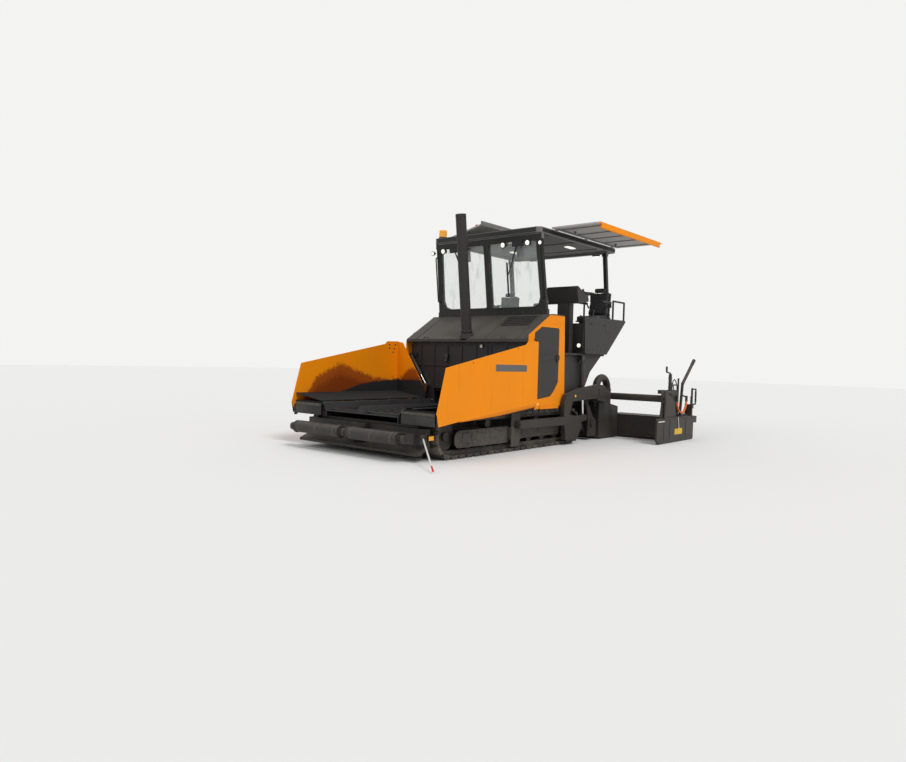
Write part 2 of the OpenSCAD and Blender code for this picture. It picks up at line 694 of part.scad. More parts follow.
module operator_deck() {
    color("#45413b") place() {
        box([deck_rear_x, 304], [-deck_half_w, deck_half_w], [deck_z - deck_t, deck_z]);
        // Rear frame that carries the canopy's posts
        z = post_foot.z;
        xz(-600, 600) polygon([[-1000, deck_z], [-1060, deck_z], [rear_beam_x - 40, z - 120],
            [rear_beam_x - 40, z - 70], [rear_beam_x + 40, z - 70], [rear_beam_x + 50, z - 120]]);
        box([rear_beam_x - 40, rear_beam_x + 40], [-post_y - 80, post_y + 80], [z - 130, z - 70]);
        both() {
            for (y = [post_y - post_w / 2 - 20, post_y + post_w / 2 + 5])
                box([rear_beam_x - 40, rear_beam_x + 30], [y, y + 15], [z - 70, z + 36]);
            across(post_foot, post_y - post_w / 2 - 10, post_y + post_w / 2 + 10, pin_d - 2 * fit_gap);
        }
        // Steps up from the screed
        both() for (k = [0:1]) box([deck_rear_x - 70, deck_rear_x + 30], [350, 560], [1150 + k * 150, 1180 + k * 150]);
        both() for (y = [350, 545]) box([deck_rear_x, deck_rear_x + 30], [y, y + 15], [1150, deck_z]);
    }
    // Rail along the rear of the platform
    color("#2b2927") place() {
        for (y = [-560, 560]) translate([rear_beam_x, y, post_foot.z - 70]) cylinder(h = 400, d = 34, $fn = 16);
        across([rear_beam_x, 0, post_foot.z + 330], -560, 560, 34, 16);
    }
}

module control_panel() {
    y = steer_at.y;
    color("#3a3733") place() {
        // Column on its slide across the platform
        box([-230, -110], [y - 120, y + 120], [deck_z + run_gap, 2340]);
        // Head with the tilted panel
        xz(y - 300, y + 290) polygon([[-430, 2370], [-430, 2430], [-60, 2600], [-40, 2560], [-100, 2330], [-240, 2330]]);
        bar([-400, y, 2400], steer_at - [0, 0, 80], 60);
        translate(steer_at - [0, 0, 110]) cylinder(h = 110 - 24, d = 64, $fn = 32);
    }
}

module steering_wheel() {
    r = steer_d / 2 - 14;
    color("#1d1c1b") place() translate(steer_at) {
        rotate_extrude($fn = 48) translate([r, 0]) circle(14, $fn = 16);
        for (a = [90, 210, 330]) rotate(a) rotate([0, 90, 0]) cylinder(h = r, d = 16, $fn = 16);
        translate([0, 0, -23.7]) cylinder(h = 32, d = 90, $fn = 32);
    }
}

// Canopy
module screen_plane() { translate([screen_foot_x, 0, hood_top_z]) rotate([0, lean, 0]) children(); }
module screen_openings() {
    w = screen_half_w - 95;
    pane = rounded([[45, 120], [w, 120], [w - 35, screen_h - 80], [45, screen_h - 80]], [30, 150, 50, 30], 6);
    for (s = [1, -1]) scale([s, 1]) polygon(pane);
}
module windscreen_frame() {
    color("#2a2825") place() screen_plane() {
        difference() {
            yz(-screen_t, 0) difference() {
                polygon([[-screen_half_w, 12], [screen_half_w, 12], [screen_half_w - 40, screen_h], [-screen_half_w + 40, screen_h]]);
                screen_openings();
            }
            // Bores of the foot and roof pins
            for (z = [0, link_l]) translate([foot_pin.x, screen_half_w + 1, foot_pin.y + z]) rotate([90, 0, 0]) {
                cylinder(h = 120, d = pin_d, $fn = 32);
                translate([0, 0, 2 * screen_half_w + 2 - 120]) cylinder(h = 120, d = pin_d, $fn = 32);
            }
        }
        // Wiper boxes with their arms and blades
        for (s = [1, -1]) {
            box([-1, 50], s > 0 ? [560, 760] : [-760, -560], [screen_h - 165, screen_h - 75]);
            bar([34, s * 660, screen_h - 130], [22, s * 420, 620], 18, 12);
            bar([20, s * 420, 860], [20, s * 420, 300], 22, 12);
        }
        for (y = lamp_y) box([-1, 20], [y - 15, y + 15], [lamp_h - 15, screen_h - 70]);
    }
}
module windscreen_glass() {
    color("#bcd0d4", 0.4) place() screen_plane() yz(-screen_t / 2 - 3, -screen_t / 2 + 3) screen_openings();
}

module rear_posts() {
    color("#2a2825") place() both() translate(post_foot) rotate([0, lean, 0]) difference() {
        union() {
            box([-35, 35], [-post_w / 2, post_w / 2], [0, link_l]);
            for (z = [0, link_l]) translate([0, post_w / 2, z]) rotate([90, 0, 0]) cylinder(h = post_w, d = 70, $fn = 32);
        }
        translate([0, 50, 0]) rotate([90, 0, 0]) cylinder(h = 100, d = pin_d, $fn = 32);
        translate([0, 50, link_l]) rotate([90, 0, 0]) cylinder(h = 100, d = pin_d, $fn = 32);
    }
}

module roof() {
    outline = rounded([[roof_rear_x, -roof_half_w], [roof_rear_x, roof_half_w], [roof_front_x, roof_half_w],
        [roof_front_x, -roof_half_w]], 90, 5);
    rim = 60;
    color("#77746d") place() {
        difference() {
            xy(roof_z, roof_z + roof_t) polygon(outline);
            box([roof_rear_x + rim, roof_front_x - 160], [-roof_half_w + rim, roof_half_w - rim], [roof_z - 1, roof_z + roof_t - 20]);
        }
        both() {
            // Ears and pins on the windscreen and the rear posts
            box([screen_top.x - 30, screen_top.x + 30], [screen_half_w - 36, screen_half_w - 24], [screen_top.z - 30, roof_z]);
            across(screen_top, screen_half_w - 90, screen_half_w - 35, pin_d - 2 * fit_gap);
            for (y = [post_y - post_w / 2 - 20, post_y + post_w / 2 + 5])
                box([post_top.x - 30, post_top.x + 30], [y, y + 15], [post_top.z - 30, roof_z + roof_t - 20]);
            across(post_top, post_y - post_w / 2 - 10, post_y + post_w / 2 + 10, pin_d - 2 * pin_gap);
            // Knuckles of the awning
            for (x = awning_knuckle_x) {
                yz(x - 20, x + 20) polygon([[roof_half_w - 8, roof_z + roof_t - 4], [roof_half_w - 8, roof_z + roof_t],
                    [awning_hinge_y - 12, awning_hinge_z + 8], [awning_hinge_y + 8, awning_hinge_z + 8],
                    [awning_hinge_y + 8, awning_hinge_z - 10], [roof_half_w - 1, roof_z + roof_t - 30]]);
                translate([x - 45, awning_hinge_y, awning_hinge_z]) rotate([0, 90, 0])
                    cylinder(h = 90, d = 12 - 2 * fit_gap, $fn = 24);
            }
        }
    }
    color("#e08a1a") place() translate([roof_front_x - 120, 110 - roof_half_w, roof_z + roof_t]) cylinder(h = 150, d = 130, $fn = 32);
}

module work_lamps() {
    color("#d8d4c8") place() screen_plane() for (y = lamp_y)
        translate([20, y, lamp_h]) rotate([0, 90, 0]) cylinder(h = 60, d1 = 60, d2 = 92, $fn = 24);
}

// An awning at an angle from its level working position
module awning(angle) {
    w = awning_w;
    translate([0, awning_hinge_y, awning_hinge_z]) rotate([angle, 0, 0]) {
        color("#8e8a80") difference() {
            xy(-awning_t / 2, awning_t / 2) polygon(rounded([[awning_x[0], -10], [awning_x[1], -10],
                [awning_x[1], w], [awning_x[0], w]], [5, 5, 60, 60]));
            for (x = awning_knuckle_x) {
                box([x - 26, x + 26], [-15, 34], [-awning_t, awning_t]);
                translate([x - 46, 0, 0]) rotate([0, 90, 0]) cylinder(h = 92, d = 12, $fn = 24);
            }
        }
        color("#f08a10") box([awning_x[0] + 60, awning_x[1] - 60], [w - 26, w - 1], [-awning_t / 2 - 62, -awning_t / 2]);
    }
}
module awning_left() { place() awning(0); }
module awning_right() { place() side(-1) awning(awning_stow); }

// Outrigger console with the driver's seat
module console() {
    shell = [[console_x[1] + 20, console_top_z], [-1810, console_top_z + 20], [deck_rear_x + 20, deck_z + run_gap],
        [console_x[1] - 20, deck_z + run_gap]];
    color("#3d3934") {
        xz(console_half_w - 40, console_half_w) polygon(rounded(shell, 25));
        // Foot well
        box([-1080, console_x[1] - 20], [console_in_y, console_half_w - 40], [deck_z + run_gap, deck_z + 24]);
        xz(console_in_y, console_half_w - 40) polygon([[console_x[1] - 50, deck_z + 24], [console_x[1] - 20, deck_z + 24],
            [console_x[1] + 10, 2000], [console_x[1] - 10, 2000]]);
        // Seat pedestal
        box([seat_x - 180, seat_x + 160], [seat_y - 180, seat_y + 180], [deck_z + 24, seat_z - 130]);
        xz(console_half_w - 100, console_half_w - 40) polygon([[-480, 1990], [-480, 2050], [-1250, 2050], [-1250, 1990]]);
    }
    // Handrail behind the seat
    y = console_half_w - 22;
    color("#2b2927") rail([[-1310, y, console_top_z - 30], [-1310, y, 2450], [-1735, y, 2450], [-1735, y, console_top_z - 10]], rail_d);
    // Lamp at the console's front corner
    color("#d8d4c8") translate([console_x[1] - 30, console_half_w - 90, 1625]) rotate([0, 90, 0]) cylinder(h = 40, d1 = 60, d2 = 84, $fn = 24);
}
module console_left() { place() console(); }
module console_right() { place() side(-1) console(); }

module seat() {
    z0 = seat_z - 130 + run_gap;
    color("#24221f") {
        xz(seat_y - 245, seat_y + 245) polygon(rounded([[seat_x - 230, z0], [seat_x - 230, z0 + 110],
            [seat_x + 240, z0 + 135], [seat_x + 260, z0 + 60], [seat_x + 230, z0]], 30));
        xz(seat_y - 235, seat_y + 235) polygon(rounded([[seat_x - 240, z0 + 90], [seat_x - 130, z0 + 90],
            [seat_x - 200, z0 + 640], [seat_x - 290, z0 + 640]], 35));
    }
}
module seat_left() { place() seat(); }
module seat_right() { place() side(-1) seat(); }

// Spreading augers
module auger_frame() {
    color("#37332e") place() {
        box([-640, -500], [50 - body_half_w, body_half_w - 50], [640, 730]);
        // Chain case at the centre
        xz(-60, 60) polygon(rounded([[auger_x - 70, auger_z - 70], [auger_x - 70, auger_z + 60], [-640, 660], [-560, 660],
            [auger_x + 90, auger_z + 60], [auger_x + 90, auger_z - 70]], [60, 20, 0, 0, 20, 60]));
        both() {
            // Outer bearing hanger with its limiting plate
            xz(auger_half_l + 8, auger_half_l + 30) polygon(rounded([[auger_x - 150, 70], [auger_x - 160, auger_z + 40],
                [auger_x - 40, auger_z + 100], [-640, 650], [-560, 650], [auger_x + 130, auger_z + 60], [auger_x + 130, 70]],
                [30, 60, 20, 0, 0, 20, 30]));
            across([auger_x, 0, auger_z], auger_half_l + 29, auger_half_l + 50, 130);
            // Shoes on the guides at the tractor's rear
            box([-500, -470 - run_gap], [floor_half_w + 12, 840], [560, 730]);
        }
    }
}
module auger() {
    y0 = 60 + run_gap;
    y1 = auger_half_l + 8 - run_gap;
    turns = (y1 - y0 - 60) / auger_pitch;
    n = 20;
    steps = ceil(turns * n);
    blade_t = 14;
    r0 = shaft_d / 2 - 4;
    r1 = auger_d / 2;
    pts = [for (k = [0:steps]) let (a = 360 * turns * k / steps, y = y0 + 30 + turns * auger_pitch * k / steps)
        for (q = [[r0, 0], [r1, 0], [r1, blade_t], [r0, blade_t]])
            [q[0] * sin(a), y + q[1], q[0] * cos(a)]];
    e = steps * 4;
    faces = concat([[0, 2, 1], [0, 3, 2], [e, e + 1, e + 2], [e, e + 2, e + 3]],
        [for (k = [0:steps - 1]) for (j = [0:3]) let (a = 4 * k + j, b = 4 * k + (j + 1) % 4)
            each [[a, b, a + 4], [b, b + 4, a + 4]]]);
    color("#5a554c") translate([auger_x, 0, auger_z]) {
        translate([0, y1, 0]) rotate([90, 0, 0]) cylinder(h = y1 - y0, d = shaft_d, $fn = 24);
        polyhedron(pts, faces);
    }
}
module auger_left() { place() auger(); }
module auger_right() { place() side(-1) auger(); }

// Tow arms, from the tow point over the auger to the screed
module tow_arm() {
    color("#3f3a34") {
        difference() {
            xz(arm_y[0], arm_y[1]) polygon(rounded([[tow_x + 60, tow_z - 58], [tow_x + 60, tow_z + 58], [410, tow_z + 58],
                [410, 690], [340, 820], [-90, 910], [-690, 970], [-900, 960], [-1050, 860], [-1150, 810], [-1150, 640],
                [-960, 645], [-620, 735], [160, 700], [250, 495], [-100, 445], [-165, 280], [20, 50], [350, 90], [390, tow_z - 70]],
                [50, 50, 15, 30, 20, 40, 60, 60, 20, 20, 20, 30, 40, 20, 10, 20, 30, 20, 20, 20]));
            across([tow_x, 0, tow_z], arm_y[0] - 1, arm_y[1] + 1, 60);
        }
        // Lug of the lift cylinder with its boss
        xz(arm_y[0], arm_y[0] + 24) polygon(rounded([[-60, 455], [-400, 465], [-430, 400], [-400, 370], [-100, 330]], [0, 30, 40, 30, 0]));
        across(lift_eye, lift_eye.y + lift_eye_w / 2 + run_gap, arm_y[0] + 1, 70);
        // Marker lamp
        across([100, 0, 790], arm_y[1] - 1, arm_y[1] + 12, 50);
    }
}
module tow_arms() {
    color("#3f3a34") place() {
        both() tow_arm();
        // Beam across the screed's front
        box(beam_x, [-screed_half_w, screed_half_w], beam_z);
        both() xz(screed_half_w - 25, screed_half_w) polygon([[beam_x[0], beam_z[0]], [beam_x[1], beam_z[0]], [beam_x[1], beam_z[1]],
            [beam_x[0], 880]]);
        both() box([beam_x[0], beam_x[1] - 55], [screed_half_w - 1, arm_y[0] + 1], [beam_z[0] + 10, beam_z[1] - 10]);
    }
}

module screed_main() {
    end = rounded([[-975, 60], [beam_x[0] - 5, 560], [beam_x[0] - 5, 880], [-1260, 640], [screed_x[0], 560], [screed_x[0], 10],
        [-1050, 10]], [10, 10, 20, 30, 20, 0, 20]);
    color("#37332e") place() {
        difference() {
            union() {
                // Front plate, frame box and heated sole
                xz(-screed_half_w + 25, screed_half_w - 25) polygon([[-975, 60], [-975, 560], [-1010, 600], [-1600, 520],
                    [-1600, 60], [screed_x[0], 12], [screed_x[0], 0], [-1030, 0], [-1000, 20]]);
                both() xz(screed_half_w - 25, screed_half_w) polygon(end);
                // Mounts on the tow arms' beam
                for (y = [-900, 0, 900]) box([-1010, beam_x[0]], [y - 120, y + 120], [560, 730]);
                // Fixed telescopic tube on its saddles
                across(tube_at, -tube_half_l, tube_half_l, tube_d, 48);
                for (y = [-1100, -420, 380, 1060]) xz(y, y + 40) polygon([[tube_at.x - 110, 530],
                    [tube_at.x + 110, 540], [tube_at.x + 60, tube_at.z], [tube_at.x - 60, tube_at.z]]);
            }
            across(tube_at, -tube_half_l - 1, tube_half_l + 1, ram_d + 2 * fit_gap, 48);
        }
    }
    // Walkway over the screed
    color("#5d594f") place() box([-1640, -1440], [-1150, 1150], [530, 560]);
    // Fume ducts that arch over the telescopic tube
    duct_r = 210;
    duct_x = -1255;
    duct_d = 130;
    color("#141312") place() both() {
        translate([duct_x, screed_half_w - 120, 870]) rotate([90, 0, 0]) difference() {
            rotate_extrude($fn = 48) translate([duct_r, 0]) circle(duct_d / 2, $fn = 24);
            translate([-duct_r - duct_d, -duct_r - duct_d, -duct_d]) cube([2 * (duct_r + duct_d), duct_r + duct_d, 2 * duct_d]);
        }
        for (x = [duct_x - duct_r, duct_x + duct_r]) translate([x, screed_half_w - 120, 535])
            cylinder(h = 345, d = duct_d + 12, $fn = 24);
    }
}

module extension() {
    y0 = ext_plate_y - ext_l;
    y1 = ext_plate_y;
    crank = [-1640, 1180];
    post_x = [-1830, -2170];
    hose_x = -2160;
    hose_r = 210;
    hose_d = 34;
    color("#3a352f") {
        // Sole and frame box
        xz(y0, y1 + 1) polygon([[ext_x[1], 40], [ext_x[1], 420], [ext_x[0] + 60, 420], [ext_x[0] + 60, 60], [ext_x[0], 12],
            [ext_x[0], 0], [ext_x[1] - 40, 0]]);
        // End plate that takes the sliding tube
        xz(y1, y1 + ext_plate_t) polygon(rounded([[-1210, 660], [-1210, 860], [-1420, 860], [ext_x[1] - 30, 700],
            [ext_x[1] - 70, 440], [ext_x[0] + 60, 440], [ext_x[0] + 60, 60], [ext_x[1] + 20, 60], [-1200, 60],
            [-1150, 400]], [20, 20, 40, 40, 20, 0, 20, 0, 20, 40]));
        across(tube_at, ext_out + 15, y1 + 5, ram_d, 48);
        // Guides of the end gate's posts
        for (g = gate_post) difference() {
            box([g.x - 36, g.x + 36], [y1 + ext_plate_t - 1, gate_y + gate_post_d + 12], [g.y, g.y + 70]);
            translate([g.x, gate_y + gate_post_d / 2 + 1, g.y - 1]) cylinder(h = 72, d = gate_post_d + 2 * run_gap, $fn = 32);
        }
        // Footboard
        box([ext_x[0] - 120, ext_x[0] + 60], [y0, y1], [300, 330]);
        // Bracket over the sliding tube with the crank column behind it
        box([tube_at.x - 110, tube_at.x + 110], [y1 - 60, y1 + 1], [tube_at.z + tube_d / 2 + 6, 910]);
        box([crank.x - 60, tube_at.x - 60], [y1 - 60, y1 + 1], [tube_at.z + tube_d / 2 + 6, 895]);
        bar([crank.x, y1 - 32, 620], [crank.x, y1 - 32, crank.y], 56, 24);
        // Control box, valve block and posts at the outer end
        box([-2790, -2000], [y1 - 90, y1 + 20], [290, 410]);
        box([-2020, -1780], [y1 - 150, y1 - 50], [400, 900]);
        box([gate_post[0].x - 40, gate_post[0].x + 40], [y1 - 60, y1 + ext_plate_t], [400, gate_post[0].y + 70]);
        for (x = post_x) bar([x, y1 - 100, 380], [x, y1 - 100, 1090], 30, 16);
        bar([post_x[0], y1 - 100, 985], [post_x[1], y1 - 100, 985], 24, 16);
        // Lever that leans out to the rear
        bar([-2200, y1 - 70, 400], [-2290, y1 - 70, 1020], 50, 16);
        bar([-2285, y1 - 70, 1000], [-2800, y1 - 70, 1440], 56, 16);
    }
    color("#1d1c1b") {
        // Crank with its grip
        rail([[crank.x, y1 - 32, crank.y - 10], [crank.x, y1 - 32, crank.y + 15], [crank.x + 160, y1 - 32, crank.y + 35],
            [crank.x + 160, y1 - 32, crank.y + 130]], 26);
        // Loop that the screed's driver holds
        bar([-2740, y1 - 60, 395], [-2740, y1 - 60, 925], 34, 24);
        rail([[-2741, y1 - 60, 900], [rear_end_x + 13, y1 - 60, 900], [rear_end_x + 13, y1 - 60, 620],
            [-2741, y1 - 60, 620]], 26);
    }
    // Hose between the valve block and the lever
    color("#d0561c") {
        translate([hose_x, y1 - 20, 700]) rotate([90, 0, 0]) difference() {
            rotate_extrude($fn = 48) translate([hose_r, 0]) circle(hose_d / 2, $fn = 16);
            translate([-hose_r - hose_d, 0, -hose_d]) cube([2 * (hose_r + hose_d), hose_r + hose_d, 2 * hose_d]);
        }
        // Fittings at its two ends
        bar([hose_x + hose_r, y1 - 20, 690], [hose_x + hose_r, y1 - 20, 790], hose_d + 10, 24);
        bar([hose_x - hose_r, y1 - 20, 690], [hose_x - hose_r, y1 - 20, 790], hose_d + 10, 24);
        bar([hose_x + hose_r, y1 - 22, 770], [hose_x + hose_r, y1 - 80, 770], hose_d - 6, 16);
        bar([hose_x - hose_r, y1 - 24, 770], [-2262, y1 - 70, 800], hose_d - 6, 16);
    }
}
module extension_left() { place() extension(); }
module extension_right() { place() side(-1) extension(); }

module end_gate() {
    y0 = gate_y;
    x1 = gate_x0 + gate_l;
    color("#37332e") {
        xz(y0, y0 + gate_t) polygon(rounded([[gate_x0, 40], [gate_x0 + 40, 0], [x1 - 60, 0], [x1, 60], [x1, gate_h],
            [gate_x0, gate_h]], [10, 20, 40, 20, 20, 20]));
        for (g = gate_post) {
            bar([g.x, y0 + gate_post_d / 2 + 1, gate_h - 10], [g.x, y0 + gate_post_d / 2 + 1, 780], gate_post_d, 32);
            bar([g.x, y0 + gate_post_d / 2 + 1, 775], [g.x, y0 + gate_post_d / 2 + 1, 900], 22);
        }
    }
}
module end_gate_left() { place() end_gate(); }
module end_gate_right() { place() side(-1) end_gate(); }

// Cylinders that lift the screed
module lift_barrel() {
    d = unit(lift_eye - lift_top);
    color("#3f3a34") difference() {
        union() {
            across(lift_top, lift_top.y - 25, lift_top.y + 25, 72);
            bar(lift_top + d * 20, lift_top + d * 100, 40);
            bar(lift_top + d * 92, lift_top + d * 700, 80);
        }
        bar(lift_top + d * 105, lift_top + d * 710, lift_rod_d + 2 * fit_gap);
        across(lift_top, lift_top.y - 30, lift_top.y + 30, 40);
    }
}
module lift_rod() {
    d = unit(lift_eye - lift_top);
    color("#c9c9c6") difference() {
        union() {
            across(lift_eye, lift_eye.y - lift_eye_w / 2, lift_eye.y + lift_eye_w / 2, 70);
            bar(lift_eye - d * 25, lift_top + d * 480, lift_rod_d);
        }
        across(lift_eye, lift_eye.y - 30, lift_eye.y + 30, 40);
    }
}
module lift_barrel_left() { place() lift_barrel(); }
module lift_barrel_right() { place() side(-1) lift_barrel(); }
module lift_rod_left() { place() lift_rod(); }
module lift_rod_right() { place() side(-1) lift_rod(); }

chassis_frame();
track_left();
track_right();
track_frames();
running_wheels();
hopper_floor();
hopper_wall();
cylinder_mounts();
conveyor_slats();
wing_left();
wing_right();
wing_barrel_left();
wing_barrel_right();
wing_rod_left();
wing_rod_right();
push_beam();
push_roller_left();
push_roller_right();
guide_rod();
hood();
engine_block();
exhaust_stack();
side_panels();
side_door_left();
side_door_right();
rear_body();
operator_deck();
control_panel();
steering_wheel();
windscreen_frame();
windscreen_glass();
rear_posts();
roof();
work_lamps();
awning_left();
awning_right();
console_left();
console_right();
seat_left();
seat_right();
auger_frame();
auger_left();
auger_right();
tow_arms();
screed_main();
extension_left();
extension_right();
end_gate_left();
end_gate_right();
lift_barrel_left();
lift_barrel_right();
lift_rod_left();
lift_rod_right();
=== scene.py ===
"""Asphalt paver: finishes and fine pieces around its solid parts."""

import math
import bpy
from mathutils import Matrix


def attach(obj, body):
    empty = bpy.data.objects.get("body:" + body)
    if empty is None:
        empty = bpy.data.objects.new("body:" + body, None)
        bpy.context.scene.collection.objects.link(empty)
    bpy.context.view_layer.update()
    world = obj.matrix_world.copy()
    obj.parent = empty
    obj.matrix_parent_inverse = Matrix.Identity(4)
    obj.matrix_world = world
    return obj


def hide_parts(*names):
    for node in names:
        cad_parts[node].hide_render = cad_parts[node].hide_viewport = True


bl_info = {
    "name": "Asphalt paver",
    "version": (1, 0, 0),
    "blender": (4, 5, 0),
    "location": "View3D > Sidebar > Paver",
    "description": "Finishes, soft seats, fasteners and trim of a tracked asphalt paver",
    "category": "Object",
}

import bmesh
import bpy
from mathutils import Matrix, Vector

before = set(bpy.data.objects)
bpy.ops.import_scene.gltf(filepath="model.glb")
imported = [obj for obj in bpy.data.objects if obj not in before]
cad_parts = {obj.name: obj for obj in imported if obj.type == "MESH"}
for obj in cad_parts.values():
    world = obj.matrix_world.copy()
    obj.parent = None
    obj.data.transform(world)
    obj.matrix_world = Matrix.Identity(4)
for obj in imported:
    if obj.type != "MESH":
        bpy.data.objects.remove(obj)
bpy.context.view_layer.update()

UP = Vector((0, 0, 1))
LEFT, RIGHT = 1, -1
SIDES = ((LEFT, "left"), (RIGHT, "right"))


class Wire:
    """A socket that takes part in sums: each operator adds one Math node."""

    def __init__(self, paint, socket):
        self.paint = paint
        self.socket = socket

    def sum_of(self, operation, other, swapped=False):
        first, second = (other, self) if swapped else (self, other)
        return self.paint.node("ShaderNodeMath", {"operation": operation}, {0: first, 1: second})

    def __add__(self, other):
        return self.sum_of("ADD", other)

    def __radd__(self, other):
        return self.sum_of("ADD", other, True)

    def __sub__(self, other):
        return self.sum_of("SUBTRACT", other)

    def __rsub__(self, other):
        return self.sum_of("SUBTRACT", other, True)

    def __mul__(self, other):
        return self.sum_of("MULTIPLY", other)

    def __rmul__(self, other):
        return self.sum_of("MULTIPLY", other, True)

    def most(self, other):
        return self.sum_of("MAXIMUM", other)


class Paint:
    """One material, built node by node."""

    def __init__(self, name):
        self.material = bpy.data.materials.new(name)
        self.material.use_nodes = True
        self.tree = self.material.node_tree
        self.tree.nodes.clear()
        self.place = self.node("ShaderNodeTexCoord", out="Object")
        self.x, self.y, self.z = self.split(self.place)
        self.facing = self.node("ShaderNodeNewGeometry", out="Normal")
        self.nx, self.ny, self.nz = self.split(self.facing)

    def node(self, kind, settings=None, inputs=None, out=0):
        made = self.tree.nodes.new(kind)
        for key, value in (settings or {}).items():
            if key == "stops":
                ramp = made.color_ramp
                while len(ramp.elements) < len(value):
                    ramp.elements.new(0.5)
                for element, (at, colour) in zip(ramp.elements, value):
                    element.position = at
                    element.color = colour
            else:
                setattr(made, key, value)
        for key, value in (inputs or {}).items():
            if isinstance(value, Wire):
                self.tree.links.new(value.socket, made.inputs[key])
            else:
                made.inputs[key].default_value = value
        return Wire(self, made.outputs[out])

    def split(self, vector):
        return [self.node("ShaderNodeSeparateXYZ", None, {0: vector}, axis) for axis in "XYZ"]

    def stretch(self, scale):
        return self.node("ShaderNodeMapping", None, {"Vector": self.place, "Scale": scale})

    def noise(self, scale, detail=3.0, rough=0.55, where=None):
        return self.node("ShaderNodeTexNoise", None,
                         {"Vector": where or self.place, "Scale": scale, "Detail": detail, "Roughness": rough})

    def cells(self, scale, feature="F1", where=None):
        return self.node("ShaderNodeTexVoronoi", {"feature": feature},
                         {"Vector": where or self.place, "Scale": scale}, "Distance")

    def step(self, value, low, high):
        """0 at low, 1 at high, smooth between them; low may be the larger."""
        return self.node("ShaderNodeMapRange", {"interpolation_type": "SMOOTHSTEP"},
                         {"Value": value, "From Min": low, "From Max": high})

    def mix(self, mask, first, second):
        return self.node("ShaderNodeMix", {"data_type": "RGBA"}, {0: mask, 6: first, 7: second}, 2)

    def bump(self, height, distance, strength=1.0, under=None):
        inputs = {"Height": height, "Distance": distance, "Strength": strength}
        if under:
            inputs["Normal"] = under
        return self.node("ShaderNodeBump", None, inputs)

    def done(self, **sockets):
        shader = self.node("ShaderNodeBsdfPrincipled", None,
                           {key.replace("_", " "): value for key, value in sockets.items()})
        output = self.tree.nodes.new("ShaderNodeOutputMaterial")
        self.tree.links.new(shader.socket, output.inputs["Surface"])
        return self.material


def rgb(values):
    return (values[0], values[1], values[2], 1.0)


def weathered(name, colour, rough, dust=0.4, film=0.0, wear=0.2, grain=0.0004, metal=0.0, gloss=0.32,
              stain=False):
    """Paint or metal with settled dust, an asphalt film low down, rubbed spots and a fine skin."""
    look = bpy.context.scene.paver_finish
    paint = Paint(name)
    broad = paint.noise(1.3, 4.0)
    fine = paint.noise(28.0, 5.0, 0.65)
    streak = paint.noise(1.0, 4.0, 0.6, paint.stretch((9.0, 9.0, 0.9)))
    speck = paint.cells(55.0)
    base = paint.mix(broad * 0.55, rgb(colour), rgb([c * 0.72 for c in colour]))
    base = paint.mix(paint.step(streak, 0.56, 0.74) * 0.22, base, rgb([c * 0.55 + 0.004 for c in colour]))
    flat = paint.step(paint.nz, 0.35, 0.95)
    low = paint.step(paint.z, 1.5, 0.15)
    dust_mask = (flat * 0.62 + low * 0.34 + 0.05) * paint.step(broad * 0.5 + fine * 0.5, 0.36, 0.62) * dust
    base = paint.mix(dust_mask, base, rgb(look.dust))
    rub = paint.step(speck + fine * 0.25, 0.2, 0.13) * paint.step(broad, 0.46, 0.6) * wear
    base = paint.mix(rub, base, rgb(look.rubbed))
    film_mask = paint.step(broad * 0.6 + streak * 0.4 + low * 0.28, 0.5, 0.72) * film
    base = paint.mix(film_mask, base, rgb(look.asphalt))
    roughness = rough + dust_mask * 0.3 + fine * 0.12 - film_mask * 0.12
    height = fine * 0.6 + film_mask * 0.8 + broad * 0.4
    if stain:
        base, roughness, height = stained(paint, base, roughness, height, fine)
    return paint.done(Base_Color=base, Roughness=roughness, Metallic=metal,
                      Specular_IOR_Level=gloss, Normal=paint.bump(height, grain, 0.7))


